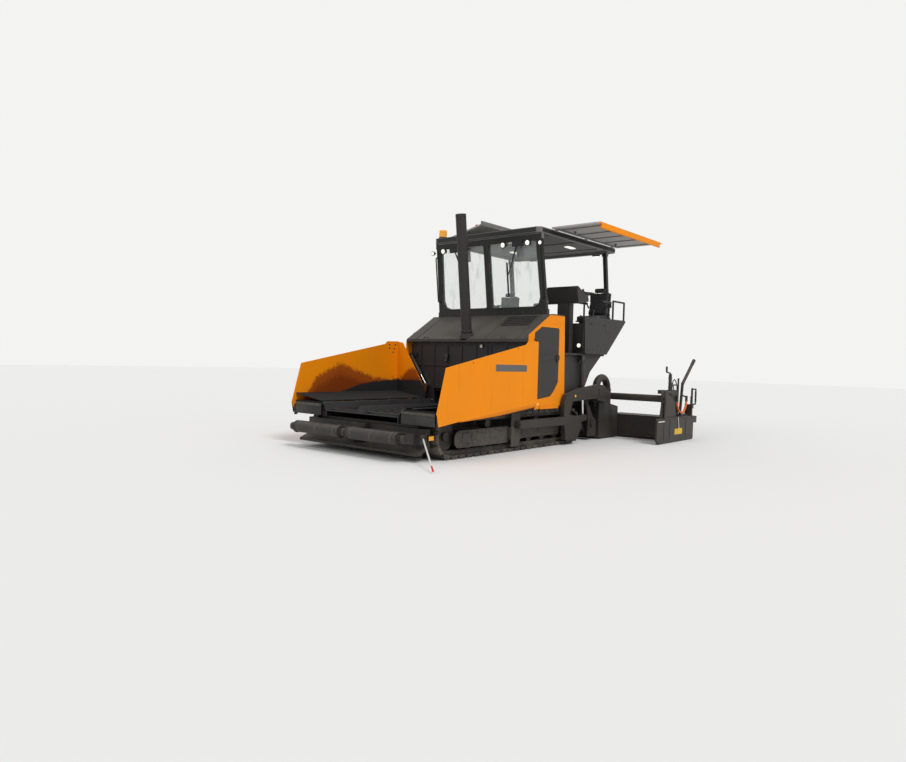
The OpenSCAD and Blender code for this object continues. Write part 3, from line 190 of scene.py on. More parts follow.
def stained(paint, base, roughness, height, fine):
    """Burnt brown humps and the dark asphalt film inside the hopper wings, on x, y and z in metres."""
    look = bpy.context.scene.paver_finish
    reach = 3.2
    # Share of the reach, height in metres
    line = {"stain": ((0.0, 1.02), (0.25, 0.98), (0.4, 0.99), (0.65, 1.24), (0.8, 1.02), (0.89, 0.62),
                      (1.0, 0.5)),
            "film": ((0.0, 1.0), (0.13, 0.99), (0.38, 0.95), (0.51, 0.9), (0.745, 0.68), (0.9, 0.58),
                     (1.0, 0.5))}
    along = paint.x * (1 / reach)
    rough_edge = paint.noise(14.0, 8.0, 0.85) - 0.5
    inner = paint.step(paint.y * paint.ny, -0.4, -1.0)
    rear = paint.step(paint.nx, 0.6, 0.9)
    inside = inner.most(rear)
    heights = {}
    for key, stops in line.items():
        ramp = paint.node("ShaderNodeValToRGB", {"stops": [(at, rgb([z / 2] * 3)) for at, z in stops]},
                          {"Fac": along})
        heights[key] = paint.split(ramp)[0] * 2.0
    side = paint.step(paint.y * paint.y, 2.0, 1.2)
    heights["stain"] = heights["stain"] + rear * (side * 0.2)
    burnt = paint.step(paint.z - heights["stain"] + rough_edge * -0.34, 0.03, -0.05) * inside
    deep = paint.step(paint.z - heights["stain"] + fine * 0.2, 0.0, -0.16) * inside
    dark = paint.step(paint.z - heights["film"] + rough_edge * -0.08, 0.02, -0.03) * inside
    base = paint.mix(burnt * 0.85, base, rgb(look.burnt))
    base = paint.mix(deep * 0.55, base, rgb([c * 0.35 for c in look.burnt]))
    base = paint.mix(dark, base, rgb(look.asphalt))
    lip = paint.step(paint.nx, 0.5, 0.8) * paint.step(paint.z, 0.9, 0.84) * paint.step(paint.x, 2.3, 2.5)
    trough = paint.step(paint.y * paint.y, 2.07, 2.02) * paint.step(paint.z, 0.8, 0.76)
    floor = paint.step(paint.nz, 0.6, 0.9).most(lip).most(trough)
    base = paint.mix(floor, base, rgb(look.asphalt))
    lumps = paint.noise(45.0, 4.0, 0.7) * dark.most(floor)
    return base, roughness - dark * 0.06 + floor * 0.35, height + lumps * 3.0


def rubbered(name, colour, dust=0.5):
    look = bpy.context.scene.paver_finish
    paint = Paint(name)
    broad = paint.noise(3.0, 4.0)
    fine = paint.noise(60.0, 5.0, 0.7)
    mask = paint.step(broad * 0.6 + fine * 0.4, 0.4, 0.66) * dust
    base = paint.mix(mask, rgb(colour), rgb([c * 0.55 for c in look.dust]))
    return paint.done(Base_Color=base, Roughness=0.72 + mask * 0.2,
                      Normal=paint.bump(fine + broad, 0.0008, 0.6))


def banded(name):
    """White guide rod with its red tip, on a black bracket."""
    paint = Paint(name)
    broad = paint.noise(6.0, 4.0)
    base = paint.mix(broad * 0.5, rgb((0.72, 0.70, 0.66)), rgb((0.42, 0.40, 0.36)))
    base = paint.mix(paint.step(paint.z, 0.075, 0.068), base, rgb((0.55, 0.02, 0.01)))
    base = paint.mix(paint.step(paint.y, 1.2, 1.19), base, rgb((0.03, 0.028, 0.025)))
    return paint.done(Base_Color=base, Roughness=0.5, Normal=paint.bump(broad, 0.0004, 0.5))


def glazed(name):
    look = bpy.context.scene.paver_finish
    paint = Paint(name)
    smear = paint.noise(4.0, 5.0, 0.65, paint.stretch((1.0, 2.0, 0.6)))
    edge = paint.step(smear, 0.5, 0.78)
    base = paint.mix(edge, rgb(look.glass), rgb(look.dust))
    return paint.done(Base_Color=base, Roughness=0.05 + edge * 0.25, Alpha=0.16 + edge * 0.14, IOR=1.45)


def chromed(name):
    paint = Paint(name)
    ring = paint.noise(40.0, 3.0, 0.6)
    oil = paint.step(paint.noise(7.0, 3.0), 0.5, 0.75)
    base = paint.mix(oil * 0.5, rgb((0.72, 0.72, 0.7)), rgb((0.25, 0.22, 0.18)))
    return paint.done(Base_Color=base, Metallic=1.0, Roughness=0.14 + ring * 0.08 + oil * 0.2,
                      Normal=paint.bump(ring, 0.0002, 0.3))


def moulded(name, colour, rough=0.55):
    paint = Paint(name)
    pebble = paint.cells(420.0)
    broad = paint.noise(6.0, 3.0)
    base = paint.mix(broad * 0.5, rgb(colour), rgb([c * 1.7 + 0.01 for c in colour]))
    return paint.done(Base_Color=base, Roughness=rough + broad * 0.15, Normal=paint.bump(pebble, 0.0003, 0.5))


def woven(name, colour):
    """Black seat cloth with a coarse rib."""
    paint = Paint(name)
    warp = paint.node("ShaderNodeTexWave", {"wave_type": "BANDS", "bands_direction": "X"},
                      {"Vector": paint.place, "Scale": 110.0, "Distortion": 0.4})
    weft = paint.node("ShaderNodeTexWave", {"wave_type": "BANDS", "bands_direction": "Y"},
                      {"Vector": paint.place, "Scale": 110.0, "Distortion": 0.4})
    broad = paint.noise(5.0, 4.0)
    base = paint.mix(broad * 0.7 + warp * weft * 0.2, rgb(colour), rgb([c * 2.6 + 0.01 for c in colour]))
    return paint.done(Base_Color=base, Roughness=0.88, Sheen_Weight=0.25,
                      Normal=paint.bump(warp + weft, 0.0006, 0.6))


def glowing(name, colour, strength):
    paint = Paint(name)
    rings = paint.cells(90.0)
    base = paint.mix(rings, rgb(colour), rgb([c * 0.7 for c in colour]))
    return paint.done(Base_Color=base, Roughness=0.12, Emission_Color=rgb(colour), Emission_Strength=strength,
                      Normal=paint.bump(rings, 0.0015, 0.5))


# Finish of each solid part; the first name is the material, the rest are the parts
DRESS = (
    ("wing_paint", "wing_left", "wing_right"),
    ("orange_paint", "side_panels"),
    ("dark_paint", "side_door_left", "side_door_right", "control_panel", "console_left", "console_right",
     "rear_body", "operator_deck"),
    ("hood_paint", "hood"),
    ("black_paint", "windscreen_frame", "rear_posts", "cylinder_mounts"),
    ("stack_paint", "exhaust_stack"),
    ("hopper_steel", "hopper_floor", "hopper_wall", "conveyor_slats"),
    ("cover_paint", "roof"),
    ("awning_paint", "awning_left", "awning_right"),
    ("worn_steel", "chassis_frame", "running_wheels", "push_beam", "auger_frame", "tow_arms", "screed_main",
     "extension_left", "extension_right", "end_gate_left", "end_gate_right", "wing_barrel_left",
     "wing_barrel_right", "lift_barrel_left", "lift_barrel_right", "push_roller_left", "push_roller_right",
     "auger_left", "auger_right", "engine_block"),
    ("plate_steel", "track_frames"),
    ("track_rubber", "track_left", "track_right"),
    ("chrome", "wing_rod_left", "wing_rod_right", "lift_rod_left", "lift_rod_right"),
    ("glass", "windscreen_glass"),
    ("lens", "work_lamps"),
    ("guide_paint", "guide_rod"),
    ("wheel_grip", "steering_wheel"),
    ("seat_cloth", "seat_left", "seat_right"),
)
FINISH = {}


def mix_finishes():
    look = bpy.context.scene.paver_finish
    FINISH.update(
        orange_paint=weathered("orange_paint", look.orange, 0.5, dust=0.1, wear=0.06, grain=0.0003, gloss=0.16),
        wing_paint=weathered("wing_paint", look.orange, 0.5, dust=0.1, wear=0.06, grain=0.0005, gloss=0.16,
                             stain=True),
        dark_paint=weathered("dark_paint", look.dark, 0.46, dust=0.3, film=0.15, wear=0.15),
        # The hood's paint is the dark paint made lighter: painted light on the hood's top, which faces the sky
        hood_paint=weathered("hood_paint", look.hood, 0.5, dust=0.25, wear=0.1),
        black_paint=weathered("black_paint", look.black, 0.42, dust=0.18, wear=0.12),
        stack_paint=weathered("stack_paint", look.stack, 0.6, dust=0.1, wear=0.1),
        hopper_steel=weathered("hopper_steel", look.asphalt, 0.42, dust=0.12, film=0.8, wear=0.5, grain=0.002),
        cover_paint=weathered("cover_paint", look.cover, 0.5, dust=0.3, wear=0.1),
        awning_paint=weathered("awning_paint", look.awning, 0.6, dust=0.2, wear=0.05),
        worn_steel=weathered("worn_steel", look.steel, 0.5, dust=0.5, film=0.5, wear=0.5, grain=0.0012,
                             metal=0.25),
        plate_steel=weathered("plate_steel", look.plate, 0.52, dust=0.6, film=0.25, wear=0.3, grain=0.0008),
        track_rubber=rubbered("track_rubber", look.rubber, 0.7),
        rubber=rubbered("rubber", (0.012, 0.012, 0.012), 0.25),
        chrome=chromed("chrome"),
        glass=glazed("glass"),
        lens=glowing("lens", (1.0, 0.96, 0.85), 0.8),
        amber=glowing("amber", (0.95, 0.4, 0.02), 0.25),
        red=glowing("red", (0.6, 0.02, 0.01), 0.1),
        pole_paint=weathered("pole_paint", (0.72, 0.68, 0.6), 0.45, dust=0.3, wear=0.3),
        guide_paint=banded("guide_paint"),
        hose_orange=rubbered("hose_orange", (0.75, 0.13, 0.01), 0.2),
        wheel_grip=moulded("wheel_grip", (0.012, 0.012, 0.012)),
        seat_cloth=woven("seat_cloth", (0.014, 0.014, 0.016)),
        hose_rubber=rubbered("hose_rubber", (0.01, 0.01, 0.01), 0.2),
        moulded_grey=moulded("moulded_grey", (0.09, 0.088, 0.084), 0.7),
        screen_glass=moulded("screen_glass", (0.01, 0.014, 0.018), 0.15),
        marker_yellow=weathered("marker_yellow", (0.72, 0.46, 0.03), 0.5, dust=0.3, wear=0.3),
        moulded_black=moulded("moulded_black", (0.014, 0.014, 0.014)),
        bolt_steel=weathered("bolt_steel", (0.10, 0.09, 0.075), 0.45, dust=0.3, film=0.2, wear=0.4, metal=0.5),
    )


AXLE_X = 0.57
MM = 0.001
# Half widths in millimetres: side panels, wings' outer walls, track plates, extensions' end plates
PANEL_Y, WING_Y, TRACK_PLATE_Y, END_PLATE_Y = 1275, 1460, 1233, 2276
# Axle of the push rollers, the beacon's middle, pins of the lift cylinders
ROLLER_X, ROLLER_Z = 3800, 305
BEACON_X, BEACON_Y = 745, -1000
LIFT_PIN_X, LIFT_PIN_Z = -300, 1415
DOOR_HANDLE_X = 516


def spot(x, y, z):
    """A place given in millimetres from the sprockets' axle, in the row's metres."""
    return Vector((x * MM - AXLE_X, y * MM, z * MM))


def screen_plane():
    """The windscreen's plane: x across its thickness, y across the machine, z up the glass."""
    return Matrix.Translation((0.635 - AXLE_X, 0, 2.09)) @ Matrix.Rotation(math.radians(8), 4, "Y")


def awning_plane(angle):
    return Matrix.Translation((-AXLE_X, 1.135, 3.4643)) @ Matrix.Rotation(math.radians(angle), 4, "X")


class Build:
    """Gathers boxes, rods, pipes and bolts, in millimetres; done() makes one piece of them and starts anew."""

    def __init__(self, plane=None):
        self.bm = bmesh.new()
        self.plane = plane or Matrix.Translation((-AXLE_X, 0, 0))

    def put(self, verts, matrix, bevel=0.0, segments=1):
        bmesh.ops.transform(self.bm, matrix=matrix, verts=verts)
        if bevel:
            edges = list({e for v in verts for e in v.link_edges})
            bmesh.ops.bevel(self.bm, geom=edges, offset=bevel * MM, segments=segments, profile=0.5,
                            affect="EDGES", material=-1)

    def box(self, low, high, bevel=2.0, segments=1, turn=None):
        low, high = Vector(low) * MM, Vector(high) * MM
        size = high - low
        verts = bmesh.ops.create_cube(self.bm, size=1.0)["verts"]
        turn = turn or Matrix.Identity(4)
        place = Matrix.Translation((low + high) / 2) @ turn @ Matrix.Diagonal((*size, 1.0))
        self.put(verts, place, bevel, segments)

    def rod(self, start, end, r, n=12, r2=None, bevel=0.0):
        start, end = Vector(start) * MM, Vector(end) * MM
        way = end - start
        verts = bmesh.ops.create_cone(self.bm, cap_ends=True, segments=n, radius1=r * MM,
                                      radius2=(r if r2 is None else r2) * MM, depth=way.length)["verts"]
        turn = UP.rotation_difference(way).to_matrix().to_4x4()
        self.put(verts, Matrix.Translation((start + end) / 2) @ turn, bevel)

    def ball(self, at, r, n=12):
        verts = bmesh.ops.create_uvsphere(self.bm, u_segments=n, v_segments=n // 2, radius=r * MM)["verts"]
        self.put(verts, Matrix.Translation(Vector(at) * MM))

    def pipe(self, points, r, n=10):
        """A tube that follows the points with mitred bends."""
        points = [Vector(p) * MM for p in points]
        rings = []
        across = None
        for k, point in enumerate(points):
            before = (point - points[k - 1]).normalized() if k else None
            after = (points[k + 1] - point).normalized() if k < len(points) - 1 else None
            way = ((before or after) + (after or before)).normalized()
            if across is None:
                across = way.orthogonal().normalized()
            across = (across - way * across.dot(way)).normalized()
            third = way.cross(across)
            rings.append([self.bm.verts.new(point + (across * math.cos(t) + third * math.sin(t)) * r * MM)
                          for t in [math.tau * i / n for i in range(n)]])
        loops = []
        for ring in rings:
            loops.append([self.bm.edges.new((ring[i], ring[(i + 1) % n])) for i in range(n)])
        for first, second in zip(loops, loops[1:]):
            bmesh.ops.bridge_loops(self.bm, edges=first + second)
        bmesh.ops.edgeloop_fill(self.bm, edges=loops[0])
        bmesh.ops.edgeloop_fill(self.bm, edges=loops[-1])

    def bolt(self, at, facing, r=11, high=8):
        at, facing = Vector(at), Vector(facing).normalized()
        self.rod(at - facing, at + facing * 2, r * 1.5, 12)
        self.rod(at, at + facing * high, r, 6)

    def bolts(self, start, end, count, facing, r=11, high=8):
        start, end = Vector(start), Vector(end)
        for k in range(count):
            self.bolt(start.lerp(end, k / max(count - 1, 1)), facing, r, high)

    def done(self, name, body, material, slot, side=LEFT, smooth=True):
        bmesh.ops.transform(self.bm, matrix=self.plane, verts=self.bm.verts)
        if side == RIGHT:
            bmesh.ops.scale(self.bm, vec=(1, -1, 1), verts=self.bm.verts)
        bmesh.ops.recalc_face_normals(self.bm, faces=self.bm.faces)
        mesh = bpy.data.meshes.new(name)
        self.bm.to_mesh(mesh)
        self.bm.free()
        self.bm = bmesh.new()
        if smooth:
            for face in mesh.polygons:
                face.use_smooth = True
            mesh.set_sharp_from_angle(angle=math.radians(32))
        piece = bpy.data.objects.new(name, mesh)
        bpy.context.scene.collection.objects.link(piece)
        mesh.materials.append(FINISH[material])
        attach(piece, body)
        return piece


def colour_prop(name, default):
    return bpy.props.FloatVectorProperty(name=name, description=name + " colour", default=default,
                                         subtype="COLOR", size=3, min=0.0, max=1.0)


class PaverFinish(bpy.types.PropertyGroup):
    """Colours of the paints, metals and dirt"""

    orange: colour_prop("Orange paint", (0.90, 0.27, 0.0))
    dark: colour_prop("Dark paint", (0.028, 0.026, 0.024))
    # Hood: the dark paint lightened, painted light for its sunlit top
    hood: colour_prop("Hood paint", (0.046, 0.042, 0.037))
    black: colour_prop("Black paint", (0.012, 0.012, 0.012))
    stack: colour_prop("Exhaust paint", (0.030, 0.027, 0.024))
    cover: colour_prop("Roof cover", (0.16, 0.155, 0.145))
    awning: colour_prop("Awning sheet", (0.42, 0.41, 0.39))
    steel: colour_prop("Worn steel", (0.042, 0.036, 0.029))
    plate: colour_prop("Track side plate", (0.045, 0.040, 0.034))
    rubber: colour_prop("Track", (0.022, 0.020, 0.017))
    dust: colour_prop("Dust", (0.28, 0.24, 0.18))
    rubbed: colour_prop("Rubbed metal", (0.22, 0.20, 0.17))
    asphalt: colour_prop("Asphalt film", (0.020, 0.020, 0.021))
    burnt: colour_prop("Burnt stain", (0.22, 0.030, 0.004))
    glass: colour_prop("Glass tint", (0.70, 0.78, 0.76))


class PaverStage(bpy.types.PropertyGroup):
    """Camera, floor and light"""

    eye: bpy.props.FloatVectorProperty(name="Eye", description="Place of the camera", subtype="TRANSLATION",
                                       unit="LENGTH", default=(9.5068, 7.1483, 1.3030))
    lens: bpy.props.FloatProperty(name="Lens", description="Focal length on a 36 mm wide sensor in millimetres",
                                  default=27.72, min=10.0)
    floor: bpy.props.FloatProperty(name="Floor", description="Side of the square floor", default=120.0,
                                   unit="LENGTH")
    sun: bpy.props.FloatProperty(name="Key light", description="Strength of the soft key light", default=1.55,
                                 min=0.0)
    sky: bpy.props.FloatProperty(name="Fill light", description="Strength of the even fill light", default=0.6,
                                 min=0.0)


class Twins:
    """Shared by the operators that make the same pieces on both sides."""

    def execute(self, context):
        for side, word in SIDES:
            self.twin(side, word)
        return {"FINISHED"}


class PAVER_OT_stage(bpy.types.Operator):
    """Set the camera, the pale floor and the soft light"""

    bl_idname = "paver.stage"
    bl_label = "Stage"

    def execute(self, context):
        stage = context.scene.paver_stage
        scene = context.scene
        scene.view_settings.view_transform = "Standard"
        camera = bpy.data.cameras.new("camera")
        camera.lens = stage.lens
        camera.sensor_width = 36.0
        camera.clip_end = 300.0
        holder = bpy.data.objects.new("camera", camera)
        right = Vector((-0.6431, 0.7653, 0.0269)).normalized()
        back = Vector((0.7657, 0.6425, 0.0283)).normalized()
        above = back.cross(right).normalized()
        right = above.cross(back)
        turn = Matrix((right, above, back)).transposed().to_4x4()
        holder.matrix_world = Matrix.Translation(stage.eye) @ turn
        scene.collection.objects.link(holder)
        scene.camera = holder

        bm = bmesh.new()
        bmesh.ops.create_grid(bm, x_segments=1, y_segments=1, size=stage.floor / 2)
        bmesh.ops.translate(bm, verts=bm.verts, vec=(0, 0, -0.002))
        mesh = bpy.data.meshes.new("floor")
        bm.to_mesh(mesh)
        bm.free()
        floor = bpy.data.objects.new("floor", mesh)
        scene.collection.objects.link(floor)
        paint = Paint("floor")
        mesh.materials.append(paint.done(Base_Color=(0.79, 0.785, 0.77, 1.0), Roughness=0.9))

        world = bpy.data.worlds.new("world")
        world.use_nodes = True
        tree = world.node_tree
        tree.nodes.clear()
        path = tree.nodes.new("ShaderNodeLightPath")
        seen = tree.nodes.new("ShaderNodeMath")
        seen.operation = "MAXIMUM"
        also = tree.nodes.new("ShaderNodeMath")
        also.operation = "MAXIMUM"
        tree.links.new(path.outputs["Is Camera Ray"], seen.inputs[0])
        tree.links.new(path.outputs["Is Transmission Ray"], seen.inputs[1])
        tree.links.new(seen.outputs[0], also.inputs[0])
        tree.links.new(path.outputs["Is Glossy Ray"], also.inputs[1])
        pale = tree.nodes.new("ShaderNodeBackground")
        pale.inputs["Color"].default_value = (0.90, 0.90, 0.89, 1.0)
        pale.inputs["Strength"].default_value = 1.0
        fill = tree.nodes.new("ShaderNodeBackground")
        fill.inputs["Color"].default_value = (0.97, 0.98, 1.0, 1.0)
        fill.inputs["Strength"].default_value = stage.sky
        blend = tree.nodes.new("ShaderNodeMixShader")
        tree.links.new(also.outputs[0], blend.inputs["Fac"])
        tree.links.new(fill.outputs[0], blend.inputs[1])
        tree.links.new(pale.outputs[0], blend.inputs[2])
        output = tree.nodes.new("ShaderNodeOutputWorld")
        tree.links.new(blend.outputs[0], output.inputs["Surface"])
        scene.world = world

        for name, way, strength, softness in (("key", (-0.25, -0.9, -1.0), stage.sun, 0.35),
                                              ("side", (-1.0, 0.25, -0.8), stage.sun * 0.35, 0.6)):
            light = bpy.data.lights.new(name, "SUN")
            light.energy = strength
            light.angle = softness
            lamp = bpy.data.objects.new(name, light)
            lamp.rotation_mode = "QUATERNION"
            lamp.rotation_quaternion = Vector((0, 0, -1)).rotation_difference(Vector(way))
            scene.collection.objects.link(lamp)
        return {"FINISHED"}


class PAVER_OT_finishes(bpy.types.Operator):
    """Give every solid part its weathered finish"""

    bl_idname = "paver.finishes"
    bl_label = "Finishes"

    def execute(self, context):
        mix_finishes()
        dressed = set()
        for material, *nodes in DRESS:
            for node in nodes:
                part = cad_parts[node]
                for held in part.material_slots:
                    held.material = FINISH[material]
                dressed.add(node)
        left = set(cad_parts) - dressed
        if left:
            raise RuntimeError("no finish for " + ", ".join(sorted(left)))
        return {"FINISHED"}


# Corners of the seat's cushion and back: name, low, high, lean in degrees
SEAT_PADS = (
    ("cushion", (-1290, 775, 2082), (-835, 1225, 2178), 4.0),
    ("backrest", (-1345, 790, 2190), (-1255, 1210, 2640), -7.0),
    ("headrest", (-1372, 890, 2610), (-1302, 1110, 2692), -7.0),
)


def pad(name, low, high, lean, side):
    """A stuffed pad: a rounded block, swelled by cloth under pressure, then quilted."""
    low, high = Vector(low), Vector(high)
    middle = (low + high) / 2
    size = (high - low) * MM
    bm = bmesh.new()
    bmesh.ops.create_cube(bm, size=1.0)
    bmesh.ops.scale(bm, vec=size * 0.94, verts=bm.verts)
    bmesh.ops.bevel(bm, geom=bm.edges[:], offset=min(size) * 0.3, segments=4, profile=0.5, affect="EDGES",
                    material=-1)
    mesh = bpy.data.meshes.new(name)
    bm.to_mesh(mesh)
    bm.free()
    piece = bpy.data.objects.new(name, mesh)
    bpy.context.scene.collection.objects.link(piece)
    remesh = piece.modifiers.new("voxels", "REMESH")
    remesh.mode = "VOXEL"
    remesh.voxel_size = 0.009
    cloth = piece.modifiers.new("swell", "CLOTH")
    cloth.settings.use_pressure = True
    cloth.settings.uniform_pressure_force = 4.0
    cloth.settings.effector_weights.gravity = 0.0
    cloth.settings.quality = 4
    for frame_number in range(1, 16):
        bpy.context.scene.frame_set(frame_number)
    depsgraph = bpy.context.evaluated_depsgraph_get()
    swelled = bpy.data.meshes.new_from_object(piece.evaluated_get(depsgraph))
    bpy.context.scene.frame_set(1)
    piece.modifiers.clear()
    piece.data = swelled
    bm = bmesh.new()
    bm.from_mesh(swelled)
    half = size / 2
    thin = min(range(3), key=lambda k: size[k])
    wide = 1
    for vert in bm.verts:
        for k in range(3):
            vert.co[k] = max(-half[k] * 1.04, min(half[k] * 1.04, vert.co[k]))
        # Sewn channels across the pad's middle panel and a piped edge round it
        along = 3 - thin - wide
        u, v = vert.co[wide] / half[wide], vert.co[along] / half[along]
        face = abs(vert.co[thin]) / half[thin]
        if face > 0.55:
            middle_panel = abs(u) < 0.62 and abs(v) < 0.86
            channel = max(0.0, 1 - abs((v * 3.2 + 0.5) % 1.0 - 0.5) / 0.09) if middle_panel else 0.0
            edge = max(0.0, 1 - abs(abs(u) - 0.66) / 0.035)
            vert.co[thin] *= 1 - 0.10 * max(channel, edge)
    turn = Matrix.Rotation(math.radians(lean), 4, "Y")
    bmesh.ops.transform(bm, matrix=Matrix.Translation(spot(*middle)) @ turn, verts=bm.verts)
    if side == RIGHT:
        bmesh.ops.scale(bm, vec=(1, -1, 1), verts=bm.verts)
        bmesh.ops.reverse_faces(bm, faces=bm.faces)
    bm.to_mesh(swelled)
    bm.free()
    for face in swelled.polygons:
        face.use_smooth = True
    smooth = piece.modifiers.new("smooth", "SUBSURF")
    smooth.levels = smooth.render_levels = 1
    swelled.materials.clear()
    swelled.materials.append(FINISH["seat_cloth"])
    return piece


class PAVER_OT_seats(Twins, bpy.types.Operator):
    """Both drivers' seats: stuffed cushion, backrest and headrest on a sprung base with armrests"""

    bl_idname = "paver.seats"
    bl_label = "Seats"

    def twin(self, side, word):
        body = "console_" + word
        for part, low, high, lean in SEAT_PADS:
            piece = pad("seat_" + part + "_" + word, low, high, lean, side)
            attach(piece, body)
            if part == "cushion":
                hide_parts("seat_" + word)
        build = Build()
        # Pan, back shell and slides
        build.box((-1300, 785, 2062), (-850, 1215, 2086), 8, 2)
        build.box((-1362, 800, 2100), (-1322, 1200, 2600), 12, 2, Matrix.Rotation(math.radians(-7), 4, "Y"))
        for y in (800, 1200):
            build.pipe([(-1240, y, 2090), (-1305, y, 2110), (-1325, y, 2220)], 14)
            # Armrest with its post
            inward = 38 if y > 1000 else -38
            build.box((-1290, y + inward - 26, 2400), (-960, y + inward + 26, 2440), 12, 3)
            build.pipe([(-1335, y + inward * 0.6, 2340), (-1290, y + inward, 2412)], 13)
        for y in (930, 1070):
            build.rod((-1358, y, 2590), (-1364, y, 2640), 7)
        build.done("seat_shell_" + word, body, "moulded_black", "seat_cover", side)
        # Bellows of the spring and the belt's buckles
        for k in range(4):
            build.box((-1220, 860, 2036 + k * 6), (-940, 1140, 2042 + k * 6), 2)
        build.box((-1120, 742, 2110), (-1080, 760, 2200), 6, 2)
        build.box((-1120, 1240, 2110), (-1080, 1256, 2200), 6, 2)
        build.done("seat_bellows_" + word, body, "rubber", "seat_cover", side)


# Rows of bolts: body, side twins, start, end, count, facing, radius
BOLT_ROWS = (
    ("wing", True, (1420, 1448, 1560), (1470, 1448, 1430), 3, (0, -1, 0), 10),
    ("wing", True, (1560, 1448, 1560), (1560, 1448, 1500), 2, (0, -1, 0), 10),
    ("tractor", True, (460, TRACK_PLATE_Y, 350), (2860, TRACK_PLATE_Y, 350), 13, (0, 1, 0), 12),
    ("tractor", True, (460, TRACK_PLATE_Y, 205), (1340, TRACK_PLATE_Y, 205), 6, (0, 1, 0), 10),
    ("tractor", True, (1560, TRACK_PLATE_Y, 165), (2860, TRACK_PLATE_Y, 165), 7, (0, 1, 0), 10),
    ("tractor", False, (1220, 1040, 1600), (1220, -1040, 1600), 9, (1, 0, 0), 9),
    ("tractor", False, (1220, 640, 900), (1220, -640, 900), 9, (1, 0, 0), 10),
    ("tractor", True, (-20, 1240, 1475), (-1040, 1240, 1475), 6, (0, 1, 0), 8),
    ("tractor", False, (-1100, 1150, 1475), (-1100, -1150, 1475), 10, (-1, 0, 0), 8),
    ("tractor", False, (700, -420, 2036), (700, 380, 2036), 5, (0.54, 0, 0.84), 8),
    ("screed", True, (-640, 1372, 900), (330, 1372, 770), 6, (0, 1, 0), 13),
    ("screed", True, (-1100, 1372, 680), (-700, 1372, 700), 3, (0, 1, 0), 13),
    ("screed", True, (60, 1372, 90), (300, 1372, 130), 3, (0, 1, 0), 13),
    ("screed", False, (-745, 1150, 720), (-745, -1150, 720), 14, (1, 0, 0), 12),
    ("screed", True, (-1620, 1250, 480), (-1100, 1250, 540), 4, (0, 1, 0), 10),
    ("screed", False, (-975, 1150, 200), (-975, -1150, 200), 12, (1, 0, 0), 9),
    ("auger_frame", False, (-500, 1150, 690), (-500, -1150, 690), 12, (1, 0, 0), 10),
    ("auger_frame", True, (-850, 1220, 220), (-690, 1220, 220), 3, (0, 1, 0), 10),
    ("push_beam", False, (3640, 1060, 330), (3640, -1060, 330), 10, (1, 0, 0), 10),
    ("windscreen", False, (640, 1080, 2125), (640, -1080, 2125), 12, (0.99, 0, -0.14), 7),
    ("extension", True, (-1260, 2300, 620), (-1260, 2300, 200), 5, (0, 1, 0), 9),
    ("extension", True, (-1240, 2300, 820), (-1380, 2300, 820), 3, (0, 1, 0), 10),
    ("end_gate", True, (-2480, 2331, 390), (-1020, 2331, 390), 9, (0, 1, 0), 9),
    ("console", True, (-440, 1300, 2060), (-1700, 1300, 2078), 8, (0, 1, 0), 7),
    ("console", True, (-420, 1300, 1560), (-1060, 1300, 1560), 5, (0, 1, 0), 7),
    ("side_door", True, (560, PANEL_Y, 1330), (560, PANEL_Y, 1000), 3, (0, 1, 0), 7),
)


class PAVER_OT_bolts(bpy.types.Operator):
    """Rows of bolts on the plates, frames and covers"""

    bl_idname = "paver.bolts"
    bl_label = "Bolts"

    def execute(self, context):
        heaps = {}
        for body, twins, start, end, count, facing, r in BOLT_ROWS:
            for side, word in SIDES if twins else SIDES[:1]:
                paired = body in ("wing", "extension", "end_gate", "console", "side_door")
                holder = body + "_" + word if paired else body
                key = (holder, side)
                heaps.setdefault(key, Build()).bolts(start, end, count, facing, r, r * 0.7)
        for (holder, side), build in heaps.items():
            word = "left" if side == LEFT else "right"
            name = "bolts_" + holder if holder.endswith(word) else "bolts_" + holder + "_" + word
            build.done(name, holder, "bolt_steel", "worn_steel", side)
        return {"FINISHED"}


class PAVER_OT_wings(Twins, bpy.types.Operator):
    """Rolled rims, bare plate, holes, rubber flaps and cylinder pins of the hopper wings"""

    bl_idname = "paver.wings"
    bl_label = "Hopper wings"

    def twin(self, side, word):
        body = "wing_" + word
        build = Build()
        y = WING_Y - 6
        rim = [(3588, y, 628), (3428, y, 1212), (1662, y, 1564), (1610, y, 1611), (1349, y, 1619)]
        build.pipe(rim, 7, 8)
        build.pipe([(1351, y, 1618), (1351, y, 712)], 7, 8)
        build.done("wing_rim_" + word, body, "orange_paint", "orange_paint", side)
        # Bare plate and the holes of the outer wall
        build.box((1640, WING_Y - 1, 1180), (2390, WING_Y + 3, 1275), 1.5)
        build.done("wing_plate_" + word, body, "moulded_grey", "white_paint", side)
        for x, z in ((1870, 1510), (2890, 1290)):
            build.rod((x, WING_Y - 1, z), (x, WING_Y + 0.7, z), 10, 20)
        build.done("wing_holes_" + word, body, "rubber", "black_paint", side)
        # Rubber flap that hangs at the hopper's front edge
        build.box((3548, 810, 470), (3560, 1400, 640), 3)
        build.box((3500, 1420, 440), (3556, 1440, 600), 4)
        build.done("wing_flap_" + word, body, "rubber", "black_paint", side)
        # Clamping strip over the flap
        build.box((3560, 815, 600), (3566, 1395, 632), 2)
        build.bolts((3566, 850, 616), (3566, 1360, 616), 6, (1, 0, 0), 8, 6)
        for x in (1425, 2125, 2825, 3425):
            build.bolts((x + 20, 720, 672), (x + 20, 740, 674), 1, (0, -0.2, 1), 9, 6)
        build.done("wing_strip_" + word, body, "bolt_steel", "worn_steel", side)
        # Pin head and washer of the cylinder's eye
        build.rod((1240, 852.7, 885), (1262, 852.7, 885), 24, 20, bevel=2)
        build.rod((1236, 852.7, 885), (1240, 852.7, 885), 15, 12)
        build.done("wing_pin_" + word, body, "bolt_steel", "worn_steel", side)


